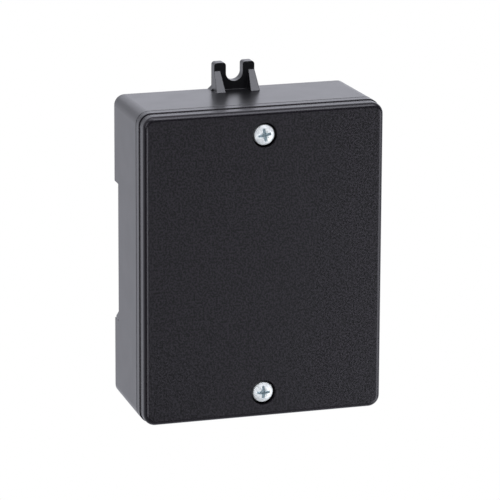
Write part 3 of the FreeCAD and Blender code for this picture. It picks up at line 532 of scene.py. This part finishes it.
# %% Woven laminate with bare edges
thread_mm = 0.8
bands = per_metre(thread_mm) * math.pi / 10
material, tree, shader = finish("glass_epoxy_laminate", IOR=1.52)
place = add(tree, "ShaderNodeTexCoord")
warp, weft = [add(tree, "ShaderNodeTexWave", {0: place.outputs["Object"]}, wave_type="BANDS",
                  bands_direction=axis, Scale=bands, Distortion=0.6) for axis in "XZ"]
cloth = add(tree, "ShaderNodeMath", {0: warp.outputs[1], 1: weft.outputs[1]}, operation="MAXIMUM")
mask_green = tint(tree, shader, cloth.outputs[0], "#0d4026", "#10492b", 0.0, 1.0)
face = add(tree, "ShaderNodeNewGeometry")
facing = add(tree, "ShaderNodeSeparateXYZ", {0: face.outputs["True Normal"]})
facing = add(tree, "ShaderNodeMath", {0: facing.outputs["Y"]}, operation="ABSOLUTE")
cut_edge = add(tree, "ShaderNodeMath", {0: facing.outputs[0], 1: 0.5},
               operation="LESS_THAN").outputs[0]
parted(tree, shader, cut_edge, mask_green, linear("#a39a5e"))
rough = add(tree, "ShaderNodeMapRange", {0: cut_edge}, To_Min=0.24, To_Max=0.7)
tree.links.new(rough.outputs[0], shader.inputs["Roughness"])
bump = add(tree, "ShaderNodeBump", {"Height": cloth.outputs[0]}, Strength=0.15, Distance=0.02 * mm)
tree.links.new(bump.outputs[0], shader.inputs["Normal"])
dress(material, ["circuit_board"])

# %% [markdown]
# ## Surfaces from numpy
# Turned and wound pieces could be built from primitives and boolean cuts, but then every groove is
# another object to keep in step. Here a piece is one grid of points, worked out as whole arrays: a
# row for each place along the outline, a column for each angle. Joining the neighbours gives the
# faces, and merging the points that meet closes the seam and the poles.

# %% From a grid of points to a mesh
def skin(name, grid, material, crease=40):
    """Mesh whose faces join neighbouring points of one grid, or of a stack of grids (the last three
    axes are row, column and XYZ). Points nearer than 0.1 micrometre are merged."""
    rows, columns = grid.shape[-3:-1]
    stack = grid.reshape(-1, rows * columns, 3)
    corner = (np.arange(rows - 1)[:, None] * columns + np.arange(columns - 1)).ravel()
    square = np.stack([corner, corner + 1, corner + columns + 1, corner + columns], axis=1)
    faces = (square + np.arange(len(stack))[:, None, None] * rows * columns).reshape(-1, 4)
    mesh = bpy.data.meshes.new(name)
    mesh.from_pydata(stack.reshape(-1, 3).tolist(), [], faces.tolist())
    shell = bmesh.new()
    shell.from_mesh(mesh)
    bmesh.ops.remove_doubles(shell, verts=shell.verts, dist=1e-7)
    bmesh.ops.recalc_face_normals(shell, faces=shell.faces)
    open_edges = sum(len(edge.link_faces) != 2 for edge in shell.edges)
    shell.to_mesh(mesh)
    shell.free()
    mesh.shade_smooth()
    mesh.set_sharp_from_angle(angle=math.radians(crease))
    mesh.materials.append(material)
    piece = bpy.data.objects.new(name, mesh)
    scene.collection.objects.link(piece)
    print(f"{name}: {len(mesh.polygons)} faces, {open_edges} open edges")
    return piece


def around(x, z, radius, y, angle):
    """Points about a line along Y: x plus radius times cosine, y, z plus radius times sine."""
    radius, y, angle = np.broadcast_arrays(radius, y, angle)
    return np.stack([x + radius * np.cos(angle), y, z + radius * np.sin(angle)], axis=-1) * mm


def circle(columns):
    """Angles of a full turn, with the first one repeated at the end."""
    return np.linspace(0, 2 * np.pi, columns + 1)[None, :]


def smooth(value, start, end):
    """Soft step from 0 at start to 1 at end: three t squared minus two t cubed."""
    t = np.clip((value - start) / (end - start), 0, 1)
    return t * t * (3 - 2 * t)


print("a quarter of the way up a soft step:", round(float(smooth(0.25, 0, 1)), 3))

# %% [markdown]
# ## Cover screws
# These are pan head screws for plastic, with a cross recess that has four fine lines between its
# arms, and a coarse thread. The recess could be cut with a boolean, but a height field is enough:
# seen from above no wall of it overhangs. Each point of the head moves down by the depth of the
# recess under it. The thread is the same idea on the shank: the radius rises to the crest once per
# pitch, shifted by the angle, which makes a helix. The depth of the recess is also kept at each
# point, as the attribute that paints shade into the recess. No two screws stop at the same angle:
# the upper one stands ten degrees further round.

# %% Cross recess
def recess_depth(x, z, turn):
    """Depth in millimetres of a cross recess that is turned by an angle. The deepest of three
    counts: four arms that get shallower outwards, a deep middle, and four fine lines between."""
    x, z = x * np.cos(turn) + z * np.sin(turn), z * np.cos(turn) - x * np.sin(turn)
    along_arm = np.maximum(abs(x), abs(z))
    across_arm = np.minimum(abs(x), abs(z))
    width = 0.54 - 0.1 * along_arm
    arm = (1 - smooth(across_arm, width - 0.2, width + 0.06)) * (1 - smooth(along_arm, 1.75, 1.95))
    reach = np.hypot(x, z)
    floor = 1.5 - 0.5 * along_arm
    hub = (1 - smooth(reach, 0.62, 0.82)) * 1.45
    diagonal = abs(abs(x) - abs(z)) / np.sqrt(2)
    line = 0.22 * (1 - smooth(diagonal, 0.05, 0.11))
    line *= smooth(reach, 0.6, 0.8) * (1 - smooth(reach, 1.3, 1.45))
    return np.maximum.reduce([arm * floor, hub, line])


print("recess in the middle:", round(float(recess_depth(0.0, 0.0, 0.0)), 2), "mm deep")

# %% Screws with recess and thread
def cover_screw(name, node, material, turn):
    """Head: crown plus a tenth of the radius squared, plus the recess. Shank: core radius plus the
    thread's height times a narrow crest, which climbs one pitch for each turn. In millimetres."""
    pitch, core, thread = 1.25, 1.08, 0.36
    low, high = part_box(node)
    crown, tip_y, z = low.y / mm, high.y / mm, (low.z + high.z) / 2 / mm
    angle = circle(128)
    reach = np.linspace(0, 2.86, 46)[:, None]
    recess = recess_depth(reach * np.cos(angle), reach * np.sin(angle), turn)
    head = around(0, z, reach, crown + 0.1 * reach ** 2 + recess, angle)
    rim_y = crown + np.array([0.87, 0.95, 1.08, 1.33, 2.18, 2.27, 2.3, 2.3, 2.3])[:, None]
    rim_reach = np.array([2.9, 2.95, 2.98, 3.0, 3.0, 2.98, 2.92, 1.6, 1.2])[:, None]
    rim = around(0, z, rim_reach, rim_y, angle)
    neck, point = crown + 2.33, tip_y - 1.27
    length = np.linspace(neck, point, 150)[:, None]
    crest = np.cos(np.pi * (length / pitch - angle / (2 * np.pi))) ** 8
    fade = smooth(length, neck, neck + 0.9) * (1 - smooth(length, point - 1, point))
    shank = around(0, z, core + thread * crest * fade, length, angle)
    tip_reach, tip_back = np.array([[1.02, 0.75, 0.0], [0.87, 0.17, 0.01]])[..., None]
    tip = around(0, z, tip_reach, tip_y - tip_back, angle)
    piece = skin(name, np.concatenate([head, rim, shank, tip]), material)
    points = np.empty(3 * len(piece.data.vertices))
    piece.data.vertices.foreach_get("co", points)
    across, deep, up = points.reshape(-1, 3).T / mm
    in_head = (deep < crown + 1.9) * (np.hypot(across, up - z) < 2.1)
    # Depth of the recess at each point of the head, which paints the shade in the recess.
    painted_shade_depth = recess_depth(across, up - z, turn) * in_head
    piece.data.attributes.new("recess", "FLOAT", "POINT").data.foreach_set("value", painted_shade_depth)
    return piece


for place, stop in (("top", math.radians(10)), ("bottom", 0.0)):
    node = f"cover_screw_{place}"
    piece = cover_screw(f"threaded_screw_{place}", node, zinc_with_painted_recess_shade, stop)
    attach(piece, node)
    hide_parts(node)

# %% [markdown]
# ## Latch spring
# A compression spring pushes the latch onto the rail. It is round wire on a helix whose end turns
# lie close together, so that it stands square: a sine, taken off the even climb, slows it down at
# both ends, and once more in the middle. A curve with a bevel would do, but the same grid helper
# gives a closed mesh at once: a small circle carried along the helix, spread over two directions
# that turn with it, outwards and across.

# %% Latch spring
turns, steps, wire, coil = 7, 40, 0.2, 1.12
foot_z, length, axis_y, closing = -34.03, 9.06, 2.75, 0.045
travel = np.linspace(0, 1, turns * steps + 1)
angle = travel * turns * 2 * np.pi
height = foot_z + length * (travel - closing * np.sin(4 * np.pi * travel))
centre = np.stack([coil * np.cos(angle), axis_y + coil * np.sin(angle), height], axis=-1)
outward = np.stack([np.cos(angle), np.sin(angle), 0 * angle], axis=-1)
forward = np.gradient(centre, axis=0)
forward /= np.linalg.norm(forward, axis=-1, keepdims=True)
across = np.cross(forward, outward)
fat = np.concatenate([[0.0, 0.8], np.ones(len(travel) - 4), [0.8, 0.0]])[:, None, None] * wire
ring = circle(14)[..., None]
section = np.cos(ring) * outward[:, None] + np.sin(ring) * across[:, None]
piece = skin("wound_latch_spring", (centre[:, None] + fat * section) * mm, spring_wire)
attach(piece, "case")
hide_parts("latch_spring")
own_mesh(piece)
print("least pitch", round(float(np.diff(height).min() * steps), 2), "mm")

# %% [markdown]
# ## Capacitor
# An aluminium can in a shrunk sleeve, rolled in near its foot to hold the rubber plug. The sleeve
# is folded over the rim, and the top of the can is scored with a cross so that it vents there if
# it fails. Cylinders with loop cuts would do, but an outline of radius and height, carried round
# an axis, says each step in one pair of numbers.

# %% Places on the board
board_face, board_rear = [corner.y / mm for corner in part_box("circuit_board")]


def middle_of(node):
    """X and Z of a solid's middle, in millimetres."""
    low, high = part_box(node)
    return (low.x + high.x) / 2 / mm, (low.z + high.z) / 2 / mm


def standing(height):
    """Y of a height in front of the board: its face minus the height."""
    return board_face - np.asarray(height)


def turned(name, x, z, outline, material):
    """Turned shape on the board: outline of radius and height pairs, carried round an axis."""
    outline = np.array(outline)
    return skin(name, around(x, z, outline[:, :1], standing(outline[:, 1:]), circle(72)), material)


print(f"board from y {board_face:.1f} to {board_rear:.1f} mm")

# %% Capacitor sleeve
capacitor_x, capacitor_z = middle_of("capacitor")
material, tree, shader = finish("shrunk_polyester_sleeve", IOR=1.6, Roughness=0.22)
place = add(tree, "ShaderNodeTexCoord")
shift = add(tree, "ShaderNodeMapping", {0: place.outputs["Object"]},
            Location=(-capacitor_x * mm, 0, -capacitor_z * mm))
split = add(tree, "ShaderNodeSeparateXYZ", {0: shift.outputs[0]})
bearing = add(tree, "ShaderNodeMath", {0: split.outputs["Z"], 1: split.outputs["X"]},
              operation="ARCTAN2")
stripe_at, stripe_half = math.radians(60), math.radians(24)
stripe = add(tree, "ShaderNodeMath", {0: bearing.outputs[0], 1: stripe_at, 2: stripe_half},
             operation="COMPARE")
sleeve_dye = tint(tree, shader, noise_of(tree, 3.0), "#15203c", "#192647")
parted(tree, shader, stripe.outputs[0], sleeve_dye, linear("#b9bfca"))
relief(tree, shader, size_mm=1.5, depth_mm=0.03, strength=0.2, edge_mm=0.1)
sleeve = turned("capacitor_sleeve", capacitor_x, capacitor_z, [
    (0, 0), (4.5, 0), (4.8, 0.08), (4.97, 0.3), (5.0, 0.6), (5.0, 1.3), (4.93, 1.5), (4.74, 1.66),
    (4.7, 1.75), (4.74, 1.84), (4.93, 2.0), (5.0, 2.2), (5.0, 11.9), (4.95, 12.2), (4.8, 12.42),
    (4.6, 12.5), (4.35, 12.48), (4.3, 12.4), (4.3, 12.1), (0, 12.1)], material)

# %% Scored lid of the can
can_metal = plated("can_aluminium", "#c3c5c8", "#d8dadc", 0.3)
angle = circle(72)
reach = np.linspace(0, 4.28, 40)[:, None]
x, z = reach * np.cos(angle), reach * np.sin(angle)
nearest_arm = np.minimum(abs(x), abs(z))
score = 0.1 * (1 - smooth(nearest_arm, 0.1, 0.22)) * (1 - smooth(reach, 3.3, 3.6))
lid = around(capacitor_x, capacitor_z, reach, standing(12.34 - score - 0.003 * reach ** 2), angle)
under = around(capacitor_x, capacitor_z, np.array([4.28, 0.0])[:, None], standing(12.12), angle)
vent = skin("capacitor_vent", np.concatenate([lid, under]), can_metal)

# %% [markdown]
# ## Choke and relay windings
# A coil could be modelled wire by wire, but nobody can see into it: what shows is the outer layer,
# a row of round ridges that climbs one wire width per turn. So each coil is a ring whose outside
# radius swells and sinks with height and angle. The relay wire is really 0.06 mm thick, too fine
# for any render of the whole part, and it is drawn at 0.3 mm.

# %% Windings
def winding(name, x, z, inner, outer, low, high, wire_width):
    """Ring with a ridged outside. A ridge is the root of a cosine's size, over height by wire width
    minus angle by a full turn, and between two ridges the radius is 0.35 of a wire less. The ring
    closes over both ends and along the bore."""
    rows_per_wire, groove = 7, 0.35
    angle = circle(64)
    height = np.linspace(low, high, int((high - low) / wire_width * rows_per_wire))[:, None]
    wave = abs(np.cos(np.pi * (height / wire_width - angle / (2 * np.pi))))
    side = around(x, z, outer - groove * wire_width * (1 - np.sqrt(wave)), standing(height), angle)
    bore = around(x, z, inner, standing([[high], [low]]), angle)
    return skin(name, np.concatenate([side, bore, side[:1]]), enamel, crease=60)


choke_x, choke_z = middle_of("choke")
ferrite = moulded("sintered_ferrite", "#2b2b2e", "#3d3d40", 0.6, size_mm=0.5, strength=0.8)
drum = turned("choke_drum", choke_x, choke_z, [
    (0, 0), (3.95, 0), (4.12, 0.05), (4.2, 0.2), (4.2, 0.8), (4.12, 0.95), (3.95, 1.0), (2.0, 1.0),
    (2.0, 5.0), (3.95, 5.0), (4.12, 5.05), (4.2, 5.2), (4.2, 5.75), (4.1, 5.93), (3.9, 6.0),
    (1.1, 6.0), (0.95, 5.9), (0.9, 5.6), (0, 5.6)], ferrite)
choke_coil = winding("choke_coil", choke_x, choke_z, 2.05, 3.45, 1.05, 4.95, 0.45)

for piece, node, name in (
        (sleeve, "capacitor", "capacitor_sleeve"), (vent, "capacitor", "capacitor_sleeve"),
        (drum, "choke", "ferrite"), (choke_coil, "choke", "copper_wire")):
    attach(piece, "case")
    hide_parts(node)

end_gap = 0.02
for n in relays:
    x, z = middle_of(f"relay_{n}_winding")
    low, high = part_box(f"relay_{n}_winding")
    foot, top = board_face - high.y / mm + end_gap, board_face - low.y / mm - end_gap
    piece = winding(f"relay_{n}_coil", x, z, 2.43, 5.0, foot, top, 0.3)
    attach(piece, "case")
    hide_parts(f"relay_{n}_winding")

# %% [markdown]
# ## Copper on the board
# A bare green plate looks like a toy. What makes a board is its copper: thin tracks that turn at
# 45 degrees, wide ones for power, bright tinned pads, and a thin outline in white ink round each
# part. A texture could hold them all, but then they would need an unwrapped image. As ribbons they
# are true geometry that catches the light, and each one is only a list of corners.

# %% Ribbons
def mitred(corners, cut=0.9):
    """Corner points of a route, each inner one replaced by two, a short way before and after it."""
    corners = np.array(corners, float)
    ahead = np.diff(corners, axis=0)
    length = np.hypot(*ahead.T)[:, None]
    step = ahead / length * np.minimum(cut, length / 2.1)
    inner = np.stack([corners[1:-1] - step[:-1], corners[1:-1] + step[1:]], axis=1).reshape(-1, 2)
    return np.concatenate([corners[:1], inner, corners[-1:]])


def ribbon(route, width, base, height, closed=False):
    """Grid of a flat strip along a route of X and Z. At a bend both sides shift along the sum of
    the two normals, divided by one plus their product, which keeps the strip's width."""
    if closed:
        forward = np.roll(route, -1, axis=0) - route
    else:
        forward = np.concatenate([np.diff(route, axis=0), route[-1:] - route[-2:-1]])
    forward = forward / np.hypot(*forward.T)[:, None]
    normal = np.stack([-forward[:, 1], forward[:, 0]], axis=1)
    before = np.roll(normal, 1, axis=0)
    if not closed:
        before[0] = normal[0]
    side = (normal + before) / (1 + (normal * before).sum(1))[:, None] * width / 2
    left, right, top = route + side, route - side, base + height
    edges = [(left, base), (left, top), (right, top), (right, base), (left, base)]
    lines = [np.stack([p[:, 0], np.full(len(p), y), p[:, 1]], axis=1) for p, y in edges]
    grid = np.stack(lines, axis=1)
    if closed:
        return np.concatenate([grid, grid[:1]]) * mm
    start, end = grid[:1, :4].mean(1, keepdims=True), grid[-1:, :4].mean(1, keepdims=True)
    return np.concatenate([np.repeat(start, 5, axis=1), grid, np.repeat(end, 5, axis=1)]) * mm


def even(grids):
    """Stack of grids with the same number of rows: short ones repeat their last row."""
    rows = max(len(g) for g in grids)
    return np.stack([np.concatenate([g, np.repeat(g[-1:], rows - len(g), axis=0)]) for g in grids])


def tiles(places, half_x, half_z, height):
    """Grids of flat boxes of one size about places: a ribbon as long as the box and as wide."""
    return [ribbon(np.array([[x, z - half_z], [x, z + half_z]]), 2 * half_x, board_face, height)
            for x, z in places]


def on_board(piece):
    """Fix a piece to the case."""
    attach(piece, "case")


run = ribbon(np.array([[0, 0], [1, 0]]), 1, 0, 1)
print(f"a ribbon of one straight run is a grid of {run.shape[0]} by {run.shape[1]} points")

# %% [markdown]
# ### Where the parts stand
# Tracks have to meet legs. The places could be typed in, but then a moved chip would leave its
# tracks behind, so they are read from the solids: a row of feet lies just inside a chip's box.

# %% Places of legs and parts
def legs(node, count, pitch, side):
    """X of each leg in the upper (side 1) or lower (side -1) row, and Z of the row's feet."""
    low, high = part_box(node)
    middle = (low.x + high.x) / 2 / mm
    row = high.z / mm - 0.45 if side > 0 else low.z / mm + 0.45
    return [(middle + (n - (count - 1) / 2) * pitch, row) for n in range(count)]


driver_up, driver_down = [legs("driver_chip", 8, 1.27, side) for side in (1, -1)]
chip_up, chip_down = [legs("microcontroller", 10, 1.27, side) for side in (1, -1)]
bridge_up, bridge_down = [legs("rectifier", 2, 5.08, side) for side in (1, -1)]
relay_x = [middle_of(f"relay_{n}_case")[0] for n in relays]
relay_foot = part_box("relay_1_case")[0].z / mm
button_x, button_z = middle_of("learn_button_body")
light_z = middle_of("status_lights")[1]
print("driver legs at x", [round(x, 2) for x, _ in driver_up])

# %% [markdown]
# ### Tracks
# The mask covers the copper, so a track is a paler green. Signal tracks are 0.4 mm wide and power
# tracks 1.6 mm. They could be curves with a bevel, but a list of corners says it all. Tracks of
# one layer never cross: of the five that turn left under the controller, the upper one runs
# furthest. Each of the five ends at a plated hole, where it changes sides. Heights count along Y
# here, so what stands in front of the board has a minus sign.

# %% Tracks under the mask
signal_width, power_width, track_height, turn_left = 0.4, 1.6, -0.05, 5
covered, tree, shader = finish("copper_under_mask", IOR=1.52)
tint(tree, shader, noise_of(tree, 6.0), "#1c6639", "#227043")
mottle(tree, shader, noise_of(tree, 3.0), "Roughness", 0.24, 0.3)
signals = []
for leg, relay, lane in ((0, 0, 0.9), (1, 1, 1.6), (6, 2, 1.6), (7, 3, 0.9)):
    x, z = driver_up[leg]
    coil_x = relay_x[relay] + 2
    signals.append([(x, z), (x, z + lane), (coil_x, z + lane), (coil_x, relay_foot + 1)])
    signals.append([(coil_x - signal_width / 2, light_z), (coil_x - 1.4, light_z)])
signals += [[(x, z), (x, chip_up[0][1])] for x, z in driver_down]
for (x, z), drop, lane, side in ((chip_down[-1], 1.6, 18, 1.8), (chip_down[-2], 2.4, 19, -1.8)):
    signals.append([(x, z), (x, z - drop), (lane, z - drop), (lane, button_z + side),
                    (button_x - 3, button_z + side)])
for n, (x, z) in enumerate(chip_down[:turn_left]):
    lane, hole_x = z - 1.4 - 0.8 * n, 0.9 * n - 7.1
    signals.append([(x, z), (x, lane), (hole_x, lane), (hole_x, z - 6 - 0.8 * n)])
through = [route[-1] for route in signals[-turn_left:]]
through += [(x + 2, relay_foot - 1.2) for x in relay_x]

terminal_z, feed_x, feed_z = -34, -3.6, -3
power = [[foot, (foot[0], capacitor_z - 1.5)] for foot in bridge_up]
power += [[foot, (foot[0], terminal_z)] for foot in bridge_down]
power += [[(capacitor_x + 3, capacitor_z + 3), (choke_x - 2, capacitor_z + 3)],
          [(choke_x + 2.5, choke_z + 2), (feed_x, choke_z + 2), (feed_x, feed_z),
           (driver_up[0][0] - 1.6, feed_z)]]
tracks = [ribbon(mitred(route), signal_width, board_face, track_height) for route in signals]
tracks += [ribbon(mitred(route), power_width, board_face, track_height) for route in power]
on_board(skin("board_tracks", even(tracks), covered))

# %% [markdown]
# ### Pads and chip resistors
# Solder wets each pad and sets bright and a little bumpy. The chip resistors are too small to be
# solids of their own: two tinned caps and a dark glazed body each. All of these could be boxes,
# placed one by one, but one helper lays out a whole list of them in a line.

# %% Pads, caps and bodies
pad_height, cap_height, body_height = -0.06, -0.42, -0.48
sides = (-1, 1)
solder = plated("reflowed_solder", "#bfc3c6", "#dcdedf", 0.42, size_mm=0.4)
resistors = [(x - 3.6, light_z) for x in relay_x] + [(-3.2, z) for z in (0.5, -1.6)]
resistors += [(15.5, z) for z in (-3, -5.2, -7.4, -9.6, -18)]
light_feet = [(x, light_z + side * 1.7) for x in relay_x for side in sides]
button_feet = [(button_x + a * 3, button_z + b * 1.8) for a in sides for b in sides]
caps = [(x + side * 0.85, z) for x, z in resistors for side in sides]
cap_pads = [(x + side * 0.95, z) for x, z in resistors for side in sides]
pads = tiles(driver_up + driver_down + chip_up + chip_down, 0.3, 0.8, pad_height)
pads += tiles(bridge_up + bridge_down, 0.7, 1.0, pad_height)
pads += tiles(light_feet, 0.8, 0.5, pad_height) + tiles(button_feet, 0.7, 0.5, pad_height)
pads += tiles(caps, 0.35, 0.65, cap_height) + tiles(cap_pads, 0.5, 0.75, pad_height)
on_board(skin("solder_pads", np.stack(pads), solder))
resistive = moulded("overglazed_resistor", "#17181b", "#24262a", 0.3, size_mm=0.4)
bodies = tiles(resistors, 0.6, 0.62, body_height)
on_board(skin("chip_resistors", np.stack(bodies), resistive))

# %% [markdown]
# ### White outlines
# The ink is printed round each place before the parts are fitted. It helps the fitter, and it
# draws the layout for the eye. An outline could be a thin curve, but the same ribbon as a track's,
# closed on itself, needs no second helper.

# %% Outlines and plated holes
ink, tree, shader = finish("white_epoxy_ink", IOR=1.5)
tint(tree, shader, noise_of(tree, 0.5), "#d4d6d2", "#e6e8e4")
mottle(tree, shader, noise_of(tree, 0.3), "Roughness", 0.5, 0.62)
relief(tree, shader, size_mm=0.2, depth_mm=0.01, strength=0.3, edge_mm=0.04)


def frame_round(node, space):
    """Closed route round a solid, a space away from it."""
    low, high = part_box(node)
    x0, z0 = low.x / mm - space, low.z / mm - space
    x1, z1 = high.x / mm + space, high.z / mm + space
    return np.array([[x0, z0], [x1, z0], [x1, z1], [x0, z1]])


def ring_round(x, z, radius, corners=48):
    """Closed route on a circle: cosine and sine of even steps."""
    angle = np.arange(corners) * 2 * np.pi / corners
    return np.stack([x + radius * np.cos(angle), z + radius * np.sin(angle)], axis=1)


routes = [frame_round(node, 0.35)
          for node in ("driver_chip", "microcontroller", "rectifier", "learn_button_body")]
routes += [frame_round(f"terminal_block_{side}", 0.25) for side in ("left", "right")]
routes += [ring_round(capacitor_x, capacitor_z, 5.5), ring_round(choke_x, choke_z, 4.8)]
box_round = np.array([[-1.6, -1.0], [1.6, -1.0], [1.6, 1.0], [-1.6, 1.0]])
routes += [np.array(place) + box_round for place in resistors]
rings = [ribbon(ring_round(x, z, 0.42, 16), 0.34, board_face, -0.07, closed=True)
         for x, z in through]
on_board(skin("plated_holes", np.stack(rings), solder))
lines = [ribbon(route, 0.18, board_face, -0.03, closed=True) for route in routes]
on_board(skin("ink_outlines", even(lines), ink))

# %% [markdown]
# ### Solder joints at the back
# On the real board the legs of the larger parts pass through, and each ends in a small cone of
# solder. Plain cones would do from afar, but melted solder climbs a leg with a hollow flank. The
# solids stop at the board's face, so only the joints show behind it.

# %% Cones behind the board
def joint(x, z):
    """Cone of solder behind the board. Its radius falls from the foot's to the leg's with the
    square of what is left of the height."""
    leg, foot, height = 0.3, 1.0, 1.0
    climb = np.linspace(0, 1, 7)[:, None]
    radius, y = leg + (foot - leg) * (1 - climb) ** 2, board_rear + height * climb
    start, end = [around(x, z, 0.0, y[row], circle(16)) for row in (slice(1), slice(-1, None))]
    return np.concatenate([start, around(x, z, radius, y, circle(16)), end])


relay_legs = ((-6, 1.3), (6, 1.3), (2, 1.3), (-3, 17), (3, 17))
bar_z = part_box("terminal_bars")[1].z / mm - 0.25
soldered = [(x + dx, relay_foot + dz) for x in relay_x for dx, dz in relay_legs]
soldered += [(middle_of(f"wire_cage_{n}")[0], bar_z) for n in terminals]
soldered += [(capacitor_x - 1, capacitor_z), (capacitor_x + 1.5, capacitor_z)]
soldered += [(choke_x - 2.5, choke_z), (choke_x + 2.5, choke_z)]
joints = np.stack([joint(x, z) for x, z in soldered])
on_board(skin("solder_joints", joints, solder))

# %% [markdown]
# ## Size of the dressed model
# The last lines compare the size of the dressed model with the size of the solids, and finish.

# %% Sizes and finish
low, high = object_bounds()
print("grown by", [round((h - l) / mm, 3) for l, h in zip(cad_high - cad_low, high - low)], "mm")
